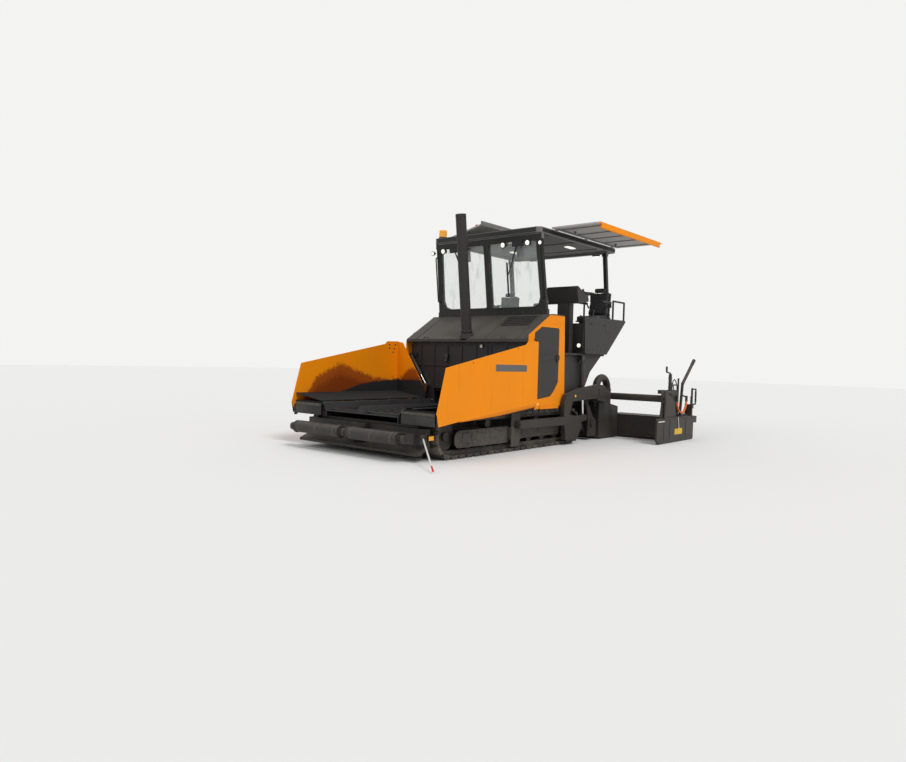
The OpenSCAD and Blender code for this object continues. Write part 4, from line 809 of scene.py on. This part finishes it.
class PAVER_OT_hopper(bpy.types.Operator):
    """Wear strips of the hopper's floor, and the rear wall's ribs, sensors and lamp"""

    bl_idname = "paver.hopper"
    bl_label = "Hopper floor"

    def execute(self, context):
        build = Build()
        # Wear strips along the floor and the guard in its middle
        for s in (1, -1):
            build.box((1240, s * 742 - 10, 548), (3500, s * 742 + 10, 566), 2)
            build.box((1240, s * 60 - 8, 552), (3500, s * 60 + 8, 566), 2)
            # Frame round each opening of the rear wall
            low, high = sorted((s * 62, s * 720))
            build.box((1219, low, 846), (1228, high, 862), 2)
            build.box((1219, s * 720 - 8, 566), (1228, s * 720 + 8, 850), 2)
        # Stiffening ribs on the rear wall
        for y in (-1000, -700, -400, -100, 200, 500, 800):
            build.box((1219, y - 5, 900), (1232, y + 5, 1560), 2)
        build.box((1219, -1130, 1220), (1236, 1130, 1236), 2)
        build.done("hopper_strips", "tractor", "hopper_steel", "black_paint")
        # Level sensors that look down on the asphalt
        for s in (1, -1):
            build.box((1232, s * 420 - 35, 1330), (1262, s * 420 + 35, 1420), 8, 2)
            build.rod((1247, s * 420, 1330), (1262, s * 420, 1296), 22, 20, 26)
            build.pipe([(1236, s * 420, 1420), (1236, s * 420, 1500), (1226, s * 420, 1560)], 6)
        build.done("hopper_sensors", "tractor", "moulded_black", "black_paint")
        build.rod((1231, 300, 1555), (1238, 300, 1555), 28, 28)
        build.done("hopper_lamp", "tractor", "pole_paint", "lamp_lens")
        return {"FINISHED"}


class PAVER_OT_front(Twins, bpy.types.Operator):
    """Caps and wear bands of the push rollers, and the front reflectors"""

    bl_idname = "paver.front"
    bl_label = "Front"

    def twin(self, side, word):
        build = Build()
        for y in (74, 1031):
            build.rod((ROLLER_X, y - 3, ROLLER_Z), (ROLLER_X, y + 3, ROLLER_Z), 52, 28, bevel=1)
            for k in range(6):
                a = math.tau * k / 6
                out = 1 if y > 500 else -1
                build.bolt((ROLLER_X + 38 * math.cos(a), y + 3 * out, ROLLER_Z + 38 * math.sin(a)),
                           (0, out, 0), 6, 4)
        # Wear bands round the roller
        for y in (180, 552, 925):
            build.rod((ROLLER_X, y - 9, ROLLER_Z), (ROLLER_X, y + 9, ROLLER_Z), 80.6, 40)
        build.done("push_roller_caps_" + word, "push_roller_" + word, "bolt_steel", "worn_steel", side)
        # The front reflectors take the glowing amber lens: their glow is painted light, for a reflector holds
        # no lamp
        build.box((3380, 1225, 280), (3470, 1234, 335), 2)
        build.done("front_reflector_" + word, "tractor", "amber", "lamp_lens", side)


# Track: distance of its axles, radius of the shoes' middle line, height of the axles, shoes, middle
TRACK_BASE, TRACK_R, TRACK_Z, SHOES, TRACK_Y = 3070, 251, 300, 48, 1102.5


def chain_place(s):
    """Place and turn of the shoe at distance s along the track, in millimetres."""
    base, r, zc = TRACK_BASE, TRACK_R, TRACK_Z
    arc = math.pi * r
    total = 2 * base + 2 * arc
    s %= total
    if s < base:
        return Vector((s, 0, zc + r)), 0.0
    s -= base
    if s < arc:
        a = s / r
        return Vector((base + r * math.sin(a), 0, zc + r * math.cos(a))), a
    s -= arc
    if s < base:
        return Vector((base - s, 0, zc - r)), math.pi
    a = (s - base) / r
    return Vector((-r * math.sin(a), 0, zc - r * math.cos(a))), math.pi + a


class PAVER_OT_tracks(Twins, bpy.types.Operator):
    """Chain pins and bolts of the track shoes, and the frame's covers, scrapers and weld"""

    bl_idname = "paver.tracks"
    bl_label = "Tracks"

    def twin(self, side, word):
        pitch = (2 * TRACK_BASE + math.tau * TRACK_R) / SHOES
        y0 = TRACK_Y
        build = Build()
        for k in range(SHOES):
            at, turn = chain_place((k + 0.5) * pitch)
            out = Vector((math.sin(turn), 0, math.cos(turn)))
            along = Vector((math.cos(turn), 0, -math.sin(turn)))
            inner = at - out * 31
            # Chain pin ends and link bosses inside the shoe
            build.rod(inner + along * pitch / 2 + Vector((0, y0 - 86, 0)),
                      inner + along * pitch / 2 + Vector((0, y0 + 86, 0)), 13, 8)
            for dy in (-84, 84):
                for dx in (-38, 38):
                    build.rod(inner + along * dx + Vector((0, y0 + dy * 0.62, 0)),
                              inner + along * dx + Vector((0, y0 + dy, 0)), 9, 6)
            # Bolt heads in the pad's pockets
            for dy in (-110, 110):
                head = at + out * 13.5 + Vector((0, y0 + dy, 0))
                build.rod(head, head + out * 6, 12, 6)
        build.done("track_bolts_" + word, "tractor", "bolt_steel", "track_rubber", side)
        # Inspection covers with their handles on the outer plate
        for x0, x1 in ((620, 960), (1060, 1400), (1860, 2180), (2280, 2600)):
            build.box((x0, TRACK_PLATE_Y, 232), (x1, 1237, 322), 3)
            for x in (x0 + 16, x1 - 16):
                for z in (246, 308):
                    build.bolt((x, 1237, z), (0, 1, 0), 6, 4)
        # Scraper beside the sprocket and the idler's adjuster cover
        build.box((330, 1200, 255), (372, 1236, 385), 4)
        build.box((2620, 1232, 190), (2800, 1238, 340), 6)
        # Weld along the plate's lower fold
        build.pipe([(360, 1234, 182), (1380, 1234, 182), (1500, 1234, 142), (2870, 1234, 142)], 4, 6)
        build.done("track_covers_" + word, "tractor", "plate_steel", "worn_steel", side)


class PAVER_OT_windscreen(bpy.types.Operator):
    """Rubber seals round both panes, wiper blades, mirrors, grab bars and the lamps' rims and lenses"""

    bl_idname = "paver.windscreen"
    bl_label = "Windscreen"

    def execute(self, context):
        build = Build(screen_plane())
        # Middle to the outer edge of a pane, its top, places of the work lamps and the corner lamps
        w, high = 1035, 1185
        lamps, corners = (-880, -400, 400, 880), (-1118, 1118)
        for s in (1, -1):
            pane = [(45, 150), (45, 1155), (75, high), (w - 80, high), (w - 38, 1140), (w - 4, 270),
                    (w - 45, 160), (w - 150, 120), (75, 120), (45, 150)]
            build.pipe([(-1, s * y, z) for y, z in pane], 10, 8)
            build.pipe([(-59, s * y, z) for y, z in pane], 10, 8)
        build.done("windscreen_seals", "windscreen", "rubber", "black_paint")
        for s in (1, -1):
            # Wiper blade with its clips, arm cover and washer hose
            build.box((-4, s * 420 - 5, 310), (10, s * 420 + 5, 850), 1)
            for z in (420, 580, 740):
                build.box((9, s * 420 - 9, z - 22), (33, s * 420 + 9, z + 22), 3)
            build.rod((34, s * 660, 1135), (58, s * 660, 1135), 26, 20, bevel=3)
            build.pipe([(52, s * 640, 1110), (52, s * 560, 900), (40, s * 470, 700), (30, s * 425, 610)], 6, 8)
            # Grab bar outside each corner post
            y = s * 1088
            build.pipe([(0, y, 260), (48, y, 275), (52, y, 300), (52, y - s * 10, 1010), (48, y - s * 10, 1035),
                        (0, y - s * 10, 1050)], 11, 10)
        build.done("windscreen_wipers", "windscreen", "black_paint", "black_paint")
        for y in lamps:
            build.rod((20, y, 1140), (30, y, 1140), 40, 28)
            build.rod((70, y, 1140), (83, y, 1140), 50, 32, bevel=3)
            for k in range(5):
                build.box((30 + k * 8, y - 44, 1112), (33 + k * 8, y + 44, 1168), 1)
            build.bolt((12, y, 1165), (1, 0, 0), 7, 5)
        # Small lamps at the frame's outer corners
        for y in corners:
            build.box((10, y - 14, 1108), (62, y + 14, 1136), 3)
            build.rod((60, y, 1122), (88, y, 1122), 38, 24, bevel=3)
        build.done("windscreen_lamp_rims", "windscreen", "black_paint", "black_paint")
        for y in lamps:
            build.rod((79, y, 1140), (85, y, 1140), 43, 28, 34)
        for y in corners:
            build.rod((84, y, 1122), (90, y, 1122), 32, 24, 26)
        build.done("windscreen_lamp_lenses", "windscreen", "lens", "lamp_lens")
        # Mirror inside the upper corner of each pane
        for s in (1, -1):
            build.pipe([(-60, s * 560, 1215), (-150, s * 560, 1200), (-180, s * 560, 1120)], 8)
            build.box((-196, s * 560 - 75, 930), (-168, s * 560 + 75, 1125), 14, 3)
        build.done("windscreen_mirrors", "windscreen", "moulded_black", "black_paint")
        return {"FINISHED"}


class PAVER_OT_roof(bpy.types.Operator):
    """Beacon, ribs, trim, lining and lamps of the roof, and the awnings' edges and battens"""

    bl_idname = "paver.roof"
    bl_label = "Roof"

    def execute(self, context):
        build = Build()
        build.rod((BEACON_X, BEACON_Y, 3482), (BEACON_X, BEACON_Y, 3601), 68, 40, bevel=2)
        build.done("beacon_lens", "roof", "amber", "lamp_lens")
        build.rod((BEACON_X, BEACON_Y, 3449), (BEACON_X, BEACON_Y, 3484), 74, 32, bevel=3)
        for k in range(5):
            build.rod((BEACON_X, BEACON_Y, 3498 + k * 18), (BEACON_X, BEACON_Y, 3501 + k * 18), 68.8, 40)
        build.done("beacon_foot", "roof", "moulded_black", "black_paint")
        # Ribs pressed in the roof's skin, and its outer trim
        for k in range(7):
            x = -1500 + k * 330
            build.box((x, -960, 3446), (x + 60, 960, 3453), 3)
        build.done("roof_ribs", "roof", "cover_paint", "pale_cover")
        for s in (1, -1):
            build.box((-1640, s * 1111 - 3, 3375), (790, s * 1111 + 3, 3432), 2)
            build.bolts((-1560, s * 1114, 3404), (730, s * 1114, 3404), 9, (0, s, 0), 7, 5)
        build.box((-1706, -1040, 3372), (-1698, 1040, 3438), 2)
        build.box((864, -1030, 3372), (872, 1030, 3440), 3)
        build.done("roof_trim", "roof", "black_paint", "pale_cover")
        # Lining below the skin, with three lamps for the platform
        build.box((-1630, -1040, 3410), (690, 1040, 3424), 4)
        for x in (-1300, -500, 300):
            build.box((x - 12, -1035, 3398), (x + 12, 1035, 3411), 3)
        build.done("roof_lining", "roof", "moulded_grey", "pale_cover")
        for x, y in ((-900, 600), (-900, -600), (200, 0)):
            build.box((x - 130, y - 45, 3392), (x + 130, y + 45, 3411), 9, 2)
        build.done("roof_ceiling_lamps", "roof", "lens", "lamp_lens")
        for side, word in SIDES:
            plane = awning_plane(0 if side == LEFT else 166)
            body = "awning_" + word
            build = Build(plane)
            build.box((-1604, 821, -77.5), (504, 851, -12), 4, 2)
            build.box((-1662, 838, -13.5), (562, 851.5, 13.5), 2)
            # The right awning's edge takes the roof cover's grey where the left one's is orange: painted shade
            # on the folded far awning
            edge = "orange_paint" if side == LEFT else "cover_paint"
            build.done("awning_edge_" + word, body, edge, edge if side == LEFT else "pale_cover", side)
            # Battens under the sheet and gas springs' eyes
            for x in (-1500, -1000, -550, -100, 400):
                build.box((x - 22, 60, -24), (x + 22, 815, -12), 3)
            build.box((-1600, 60, -22), (500, 90, -12), 2)
            for x in (-1250, 150):
                build.rod((x, 190, -38), (x + 20, 190, -38), 15, 16)
                build.box((x + 4, 170, -38), (x + 16, 210, -14), 2)
            build.done("awning_battens_" + word, body, "cover_paint", "pale_cover", side)
            if side == RIGHT:
                build = Build(plane)
                build.box((505, 700, -52), (513, 745, -24), 2)
                build.done("awning_marker", body, "red", "lamp_lens", side)
        # Rear lamps that light the augers
        build = Build()
        for y in (-700, 700):
            build.box((-1712, y - 70, 3340), (-1660, y + 70, 3372), 8, 2)
        build.done("roof_rear_lamp_housings", "roof", "black_paint", "black_paint")
        for y in (-700, 700):
            build.box((-1700, y - 58, 3334), (-1668, y + 58, 3342), 3)
        build.done("roof_rear_lamps", "roof", "lens", "lamp_lens")
        return {"FINISHED"}


class PAVER_OT_hood(bpy.types.Operator):
    """Grille behind the louvres, seams, catches and seals of the hood, and the exhaust's bands"""

    bl_idname = "paver.hood"
    bl_label = "Hood"

    def execute(self, context):
        slope = math.atan2(2090 - 1665, 1330 - 635)
        build = Build()
        for k in range(6):
            x = 700 + k * 48
            z = 2090 - (x - 635) * math.tan(slope)
            # Raised lip above each slot
            build.box((x - 6, 455, z - 6), (x + 2, 1005, z + 14), 2, 1, Matrix.Rotation(slope, 4, "Y"))
        # Seam strips of the lid and its catches
        for y in (-1040, 420, 1040):
            build.box((645, y - 6, 2048), (655, y + 6, 2056), 1)
            build.pipe([(640, y, 2089), (1318, y, 1674)], 5, 6)
        build.pipe([(1322, -1255, 1668), (1322, 1255, 1668)], 7, 8)
        for y in (-800, 800):
            build.box((1328, y - 45, 1626), (1336, y + 45, 1664), 3)
            build.pipe([(1322, y - 40, 1690), (1350, y - 40, 1702), (1350, y + 40, 1702),
                        (1322, y + 40, 1690)], 7)
        build.done("hood_trim", "tractor", "hood_paint", "dark_paint")
        # Mesh of the air inlet under the slots
        for k in range(7):
            x = 690 + k * 48
            z = 2090 - (x - 635) * math.tan(slope) - 22
            build.rod((x, 452, z), (x, 1008, z), 3, 6)
        for k in range(24):
            y = 460 + k * 24
            build.rod((690, y, 2090 - 55 * math.tan(slope) - 24),
                      (978, y, 2090 - 343 * math.tan(slope) - 24), 2, 6)
        build.done("hood_grille", "tractor", "black_paint", "dark_paint")
        # Rubber seal at the windscreen's foot
        build.pipe([(628, -1120, 2098), (628, 1120, 2098)], 9, 8)
        build.pipe([(300, -1262, 2086), (300, 1262, 2086)], 8, 8)
        build.done("hood_seals", "tractor", "rubber", "dark_paint")
        build = Build(Matrix.Translation((1.24 - AXLE_X, 0, 1.718)) @ Matrix.Rotation(math.radians(7), 4, "Y"))
        for z in (1896, 1200, 520):
            build.rod((0, 0, z), (0, 0, z + 14), 87.5, 36, bevel=2)
        build.rod((0, 0, 60), (0, 0, 92), 96, 36, bevel=4)
        build.box((-12, 84, 64), (12, 104, 88), 3)
        build.bolt((0, 100, 76), (0, 1, 0), 8, 8)
        # Weld seam up the tube
        build.pipe([(-60, -62, 90), (-60, -62, 1895)], 3, 6)
        build.done("exhaust_bands", "tractor", "stack_paint", "black_paint")
        return {"FINISHED"}


class PAVER_OT_panels(Twins, bpy.types.Operator):
    """Seams, steps, handles and reflectors of the side panels and doors"""

    bl_idname = "paver.panels"
    bl_label = "Side panels"

    def twin(self, side, word):
        build = Build()
        # Folded edge round the panel and the seam in front of the door
        build.pipe([(266, 1272, 655), (322, 1272, 2040)], 5, 6)
        build.pipe([(1326, 1272, 705), (1326, 1272, 1640)], 5, 6)
        build.box((330, 1274, 1930), (740, 1280, 1938), 1)
        build.pipe([(1210, 1276, 720), (1210, 1276, 1720)], 3, 6)
        # Step plates below the door
        build.box((470, 1274, 600), (1000, 1296, 622), 3)
        build.box((470, 1288, 622), (1000, 1296, 640), 2)
        build.done("panel_seams_" + word, "tractor", "orange_paint", "orange_paint", side)
        # Door: stiffener pressed across it, pull handle and lock
        build.pipe([(600, PANEL_Y, 1400), (860, PANEL_Y, 1330), (1190, PANEL_Y, 1300)], 5, 8)
        handle = ((1288, 1362), (1312, 1372), (1312, 1428), (1288, 1438))
        build.pipe([(DOOR_HANDLE_X, y, z) for y, z in handle], 7)
        build.rod((DOOR_HANDLE_X, 1288, 1338), (DOOR_HANDLE_X, 1294, 1338), 13, 20)
        build.box((490, 1274, 1320), (542, 1289, 1348), 4, 2)
        build.done("door_trim_" + word, "side_door_" + word, "dark_paint", "dark_paint", side)
        # The side reflectors take the glowing amber lens: their glow is painted light, for a reflector holds no
        # lamp
        build.box((1020, PANEL_Y, 660), (1110, 1280, 700), 2)
        build.box((290, PANEL_Y, 660), (360, 1280, 700), 2)
        build.done("side_reflector_" + word, "tractor", "amber", "lamp_lens", side)


class PAVER_OT_platform(bpy.types.Operator):
    """Tread plate, keys and levers of the control panel, wheel hub and the consoles' trim"""

    bl_idname = "paver.platform"
    bl_label = "Platform"

    def execute(self, context):
        build = Build()
        # Tread plate: crossed lozenges
        for i in range(34):
            for j in range(44):
                x, y = -1060 + i * 39, -1160 + j * 54
                if abs(y) > 650 and x < -280:
                    continue
                turn = Matrix.Rotation(math.radians(45 if (i + j) % 2 else -45), 4, "Z")
                build.box((x - 14, y - 3, 1489), (x + 14, y + 3, 1492.5), 0, 1, turn)
        build.done("deck_treads", "tractor", "worn_steel", "dark_paint", smooth=False)
        build = Build(Matrix.Translation((-AXLE_X, 0.985, 0)))
        tilt = math.atan2(170, 370)
        face = Matrix.Rotation(-tilt, 4, "Y")
        # Face with its screen bezel, keys, turning knobs and levers
        middle = Vector((-245, 0, 2520))
        out = Vector((-math.sin(tilt), 0, math.cos(tilt)))
        down = Vector((math.cos(tilt), 0, math.sin(tilt)))

        def on_face(u, v, high=0.0):
            return middle + down * u + Vector((0, v, 0)) + out * high

        def slab(u, v, du, dv, low, high, bevel=3):
            centre = on_face(u, v, (low + high) / 2)
            size = Vector((du, dv, high - low)) / 2
            build.box(centre - size, centre + size, bevel, 2, face)

        slab(0, 0, 380, 570, -2, 6, 6)
        slab(60, 90, 190, 260, 5, 16, 5)
        for i in range(5):
            for j in range(8):
                slab(-110 + i * 30, -240 + j * 30, 20, 22, 5, 11, 3)
        for v in (-200, -130, -60):
            build.rod(on_face(120, v, 5), on_face(120, v, 30), 16, 20, 13, bevel=2)
        for v in (150, 215):
            build.rod(on_face(-120, v, 5), on_face(-135, v, 70), 6, 10)
            build.ball(on_face(-137, v, 78), 17, 14)
        build.pipe([on_face(-180, v, high) for v, high in ((-285, 0), (-285, 50), (280, 50), (280, 0))], 10)
        build.done("control_keys", "control_panel", "moulded_black", "dark_paint")
        slab(60, 90, 165, 235, 15, 17.5, 1)
        build.done("control_screen", "control_panel", "screen_glass", "window_glass")
        # The stop button takes the glowing red: its glow is painted light, for it holds no lamp
        build.rod(on_face(-130, -262, 5), on_face(-130, -262, 26), 19, 24, bevel=3)
        build.done("stop_button", "control_panel", "red", "dark_paint")
        build = Build(Matrix.Translation((-AXLE_X, 0.985, 2.54)))
        build.rod((-700, 0, 6), (-700, 0, 16), 34, 28, bevel=3)
        build.rod((-530, 120, 8), (-530, 120, 60), 15, 20, 20, bevel=4)
        build.done("steering_cap", "steering_wheel", "moulded_black", "wheel_plastic")
        for side, word in SIDES:
            body = "console_" + word
            build = Build()
            # Ledge, joystick with its keys, and grab rail of the console
            build.box((-1020, 1222, 2050), (-500, 1262, 2082), 8, 2)
            build.box((-780, 1180, 2082), (-600, 1262, 2140), 10, 2)
            build.pipe([(-690, 1222, 2140), (-700, 1222, 2200), (-704, 1220, 2215)], 9)
            build.ball((-705, 1220, 2232), 22, 14)
            for k in range(3):
                build.box((-760 + k * 34, 1190, 2139), (-740 + k * 34, 1210, 2146), 3)
            build.pipe([(-330, 1262, 1560), (-300, 1262, 1600), (-300, 1262, 2040), (-330, 1262, 2070)], 10)
            build.done("console_controls_" + word, body, "moulded_black", "dark_paint", side)
            # Bare plate of the outer cover, its hinges and lock
            build.box((-1290, 1299, 1880), (-1010, 1303, 1950), 1.5)
            for x in (-1050, -560):
                build.rod((x, 1303, 2000), (x + 70, 1303, 2000), 8, 12)
            build.rod((-800, 1300, 1640), (-800, 1306, 1640), 15, 20)
            build.done("console_cover_" + word, body, "dark_paint", "dark_paint", side)
            build.rod((-276, 1210, 1625), (-258, 1210, 1625), 46, 28, bevel=3)
            build.done("console_lamp_rim_" + word, body, "moulded_black", "black_paint", side)
            build.rod((-262, 1210, 1625), (-256, 1210, 1625), 38, 28, 32)
            build.done("console_lamp_lens_" + word, body, "lens", "lamp_lens", side)
        return {"FINISHED"}


class PAVER_OT_rear(Twins, bpy.types.Operator):
    """Tail lamps, grip studs, tank caps, fixed hoses and lift cylinder pins at the tractor's rear"""

    bl_idname = "paver.rear"
    bl_label = "Rear of the tractor"

    def twin(self, side, word):
        build = Build()
        build.box((-1106, 860, 1466), (-1098, 1100, 1484), 2)
        build.box((-1114, 890, 1350), (-1082, 1010, 1458), 8, 2)
        # Grip studs on the ladder's steps
        for z in (1180, 1330):
            for k in range(6):
                build.rod((-1142, 375 + k * 32, z), (-1142, 375 + k * 32, z + 4), 8, 8)
                build.rod((-1100, 375 + k * 32, z), (-1100, 375 + k * 32, z + 4), 8, 8)
        build.rod((-700, 700, 1182), (-724, 700, 1150), 62, 28, bevel=5)
        # Hose bundle along the tractor's rear slope
        for k, y in enumerate((860, 890, 920)):
            build.pipe([(-1060, y, 1420), (-1010, y, 1370), (-735 + k * 8, y, 1150), (-560 + k * 8, y, 930),
                        (-520 + k * 6, y, 890)], 11)
        for x, z in ((-960, 1335), (-800, 1210), (-620, 1010)):
            build.box((x - 16, 845, z - 22), (x + 16, 935, z + 18), 3, 1,
                      Matrix.Rotation(math.radians(40), 4, "Y"))
        build.done("rear_fittings_" + word, "tractor", "hose_rubber", "black_paint", side)
        build.box((-1119, 902, 1404), (-1112, 998, 1446), 3)
        build.done("tail_lamp_red_" + word, "tractor", "red", "lamp_lens", side)
        build.box((-1119, 902, 1362), (-1112, 998, 1398), 3)
        build.done("tail_lamp_amber_" + word, "tractor", "amber", "lamp_lens", side)
        # Pin heads of the lift cylinder
        build.rod((LIFT_PIN_X, 1222, LIFT_PIN_Z), (LIFT_PIN_X, 1226, LIFT_PIN_Z), 26, 20)
        build.rod((LIFT_PIN_X, 1286, LIFT_PIN_Z), (LIFT_PIN_X, 1292, LIFT_PIN_Z), 26, 20)
        build.done("lift_pin_" + word, "tractor", "bolt_steel", "worn_steel", side)


# Hoses of the extension: radius, then points as x, distance inwards from the end plate, z
SCREED_HOSES = (
    (9, (-1900, 100, 890), (-1900, 102, 960), (-1940, 104, 1060), (-2000, 104, 1085), (-2060, 104, 1060),
     (-2120, 104, 960), (-2150, 100, 640), (-2150, 88, 440)),
    (9, (-1860, 140, 890), (-1860, 150, 940), (-1900, 156, 1010), (-1980, 156, 1030), (-2070, 150, 960),
     (-2110, 120, 700), (-2110, 90, 440)),
    (8, (-2000, 140, 520), (-2060, 130, 500), (-2160, 120, 460), (-2240, 100, 440)),
)


class PAVER_OT_screed(bpy.types.Operator):
    """Walkway treads, heater boxes, tow arm trim, grips and hoses of the screed, and the end gates' ribs"""

    bl_idname = "paver.screed"
    bl_label = "Screed"

    def execute(self, context):
        build = Build()
        for i in range(5):
            for j in range(58):
                turn = Matrix.Rotation(math.radians(45 if (i + j) % 2 else -45), 4, "Z")
                x, y = -1620 + i * 40, -1130 + j * 39.5
                build.box((x - 12, y - 3, 559), (x + 12, y + 3, 562.5), 0, 1, turn)
        build.done("walkway_treads", "screed", "worn_steel", "worn_steel", smooth=False)
        # Heater boxes and their conduit along the screed
        for y in (-900, -300, 300, 900):
            build.box((-1240, y - 110, 600), (-1130, y + 110, 660), 6, 2)
            build.bolts((-1130, y - 80, 630), (-1130, y + 80, 630), 3, (1, 0, 0), 6, 5)
        build.pipe([(-1120, -1050, 590), (-1110, -600, 598), (-1110, 600, 598), (-1120, 1050, 590)], 12)
        build.done("screed_heater_boxes", "screed", "dark_paint", "worn_steel")
        for side, word in SIDES:
            build = Build()
            # Clamps on the fume duct, tow arm's scale and cover plate
            for x in (-1465, -1045):
                build.rod((x, 1130, 600), (x, 1130, 614), 76, 32, bevel=2)
                build.rod((x, 1130, 850), (x, 1130, 864), 76, 32, bevel=2)
            build.box((-880, 1371, 760), (-720, 1376, 900), 2)
            build.bolts((-866, 1376, 776), (-866, 1376, 884), 3, (0, 1, 0), 6, 5)
            build.bolts((-734, 1376, 776), (-734, 1376, 884), 3, (0, 1, 0), 6, 5)
            build.rod((1620, 1390, 400), (1620, 1398, 400), 30, 28, bevel=2)
            # Flanges along the arm's edges
            upper = ((400, 686), (332, 814), (-94, 903), (-690, 962), (-892, 952))
            build.pipe([(x, 1368, z) for x, z in upper], 8, 8)
            build.pipe([(-615, 1368, 741), (155, 1368, 707), (245, 1368, 500)], 8, 8)
            build.done("arm_trim_" + word, "screed", "worn_steel", "worn_steel", side)
            build.rod((100, 1386, 790), (100, 1389, 790), 21, 24)
            build.done("arm_marker_" + word, "screed", "amber", "lamp_lens", side)
            # Outer end: grips, knobs and clamps
            body = "extension_" + word
            y = END_PLATE_Y
            build.rod((-1480, y - 32, 1225), (-1480, y - 32, 1312), 17, 16, bevel=3)
            build.rod((-2700, y - 70, 1354), (-2800, y - 70, 1440), 31, 20)
            for x in (-1830, -2170):
                build.rod((x, y - 100, 1088), (x, y - 100, 1104), 21, 16, bevel=3)
            build.rod((-2917, y - 60, 660), (-2917, y - 60, 860), 17, 14)
            # Key box with its toggles
            build.box((-2440, y - 86, 408), (-2100, y + 14, 452), 8, 2)
            for k in range(6):
                build.rod((-2400 + k * 50, y - 35, 450), (-2404 + k * 50, y - 35, 478), 6, 10)
                build.ball((-2404 + k * 50, y - 35, 482), 9, 10)
            build.done("screed_grips_" + word, body, "moulded_black", "black_paint", side)
            # Hoses beside the posts
            for r, *hose in SCREED_HOSES:
                build.pipe([(x, y - inward, z) for x, inward, z in hose], r)
            build.done("screed_hoses_" + word, body, "hose_rubber", "black_paint", side)
            # Sleeve of the hose between the valve block and the lever
            arc = [math.pi * k / 16 for k in range(17)]
            build.pipe([(-2160 + 210 * math.cos(a), y - 20, 700 - 210 * math.sin(a)) for a in arc], 18.5, 16)
            build.done("screed_hose_sleeve_" + word, body, "hose_orange", "orange_paint", side)
            for x in (-2370, -1950):
                build.rod((x, y - 20, 688), (x, y - 20, 712), 24, 20, bevel=3)
                build.rod((x, y - 20, 722), (x, y - 20, 750), 27, 6, bevel=2)
            build.done("screed_hose_ends_" + word, body, "bolt_steel", "worn_steel", side)
            for k in range(4):
                z = 460 + k * 105
                build.box((-2022, y - 152, z), (-1778, y - 148, z + 70), 3)
                build.bolts((-1990, y - 49, z + 35), (-1810, y - 49, z + 35), 3, (0, 1, 0), 10, 8)
            build.rod((-1640, y - 32, 700), (-1640, y - 32, 724), 34, 20, bevel=2)
            build.rod((-1640, y - 32, 1100), (-1640, y - 32, 1124), 34, 20, bevel=2)
            build.done("screed_valve_trim_" + word, body, "bolt_steel", "worn_steel", side)
            gate = "end_gate_" + word
            build.box((-2020, 2330, 130), (-1690, 2337, 230), 3)
            build.done("gate_block_" + word, gate, "marker_yellow", "worn_steel", side)
            build.pipe([(-1870, 2337, 225), (-1822, 2337, 425)], 7)
            build.rod((-1240, 2336, 380), (-1000, 2336, 380), 10, 12)
            build.done("gate_rod_" + word, gate, "pole_paint", "white_paint", side)
            # Wear bar and ribs of the gate
            build.box((-2520, 2330, 12), (-1040, 2337, 52), 3)
            build.box((-2536, 2330, 412), (-980, 2336, 428), 2)
            for x in (-2200, -1500, -1250):
                build.box((x, 2330, 60), (x + 12, 2336, 405), 2)
            build.done("gate_ribs_" + word, gate, "worn_steel", "worn_steel", side)
        return {"FINISHED"}


OPERATORS = [PAVER_OT_stage, PAVER_OT_finishes, PAVER_OT_seats, PAVER_OT_bolts, PAVER_OT_wings,
             PAVER_OT_hopper, PAVER_OT_front, PAVER_OT_tracks, PAVER_OT_windscreen, PAVER_OT_roof,
             PAVER_OT_hood, PAVER_OT_panels, PAVER_OT_platform, PAVER_OT_rear, PAVER_OT_screed]


class PAVER_PT_panel(bpy.types.Panel):
    """Buttons for the stage and the groups of pieces"""

    bl_idname = "PAVER_PT_panel"
    bl_label = "Asphalt paver"
    bl_space_type = "VIEW_3D"
    bl_region_type = "UI"
    bl_category = "Paver"

    def draw(self, context):
        for operator in OPERATORS:
            self.layout.operator(operator.bl_idname)
        for group in (context.scene.paver_finish, context.scene.paver_stage):
            for key in group.bl_rna.properties.keys():
                if key not in ("rna_type", "name"):
                    self.layout.prop(group, key)


CLASSES = [PaverFinish, PaverStage, *OPERATORS, PAVER_PT_panel]


def register():
    for cls in CLASSES:
        bpy.utils.register_class(cls)
    bpy.types.Scene.paver_finish = bpy.props.PointerProperty(type=PaverFinish)
    bpy.types.Scene.paver_stage = bpy.props.PointerProperty(type=PaverStage)


def unregister():
    del bpy.types.Scene.paver_stage
    del bpy.types.Scene.paver_finish
    for cls in reversed(CLASSES):
        bpy.utils.unregister_class(cls)


def main():
    register()
    for operator in OPERATORS:
        group, name = operator.bl_idname.split(".")
        getattr(getattr(bpy.ops, group), name)()


if __name__ == "__main__":
    main()
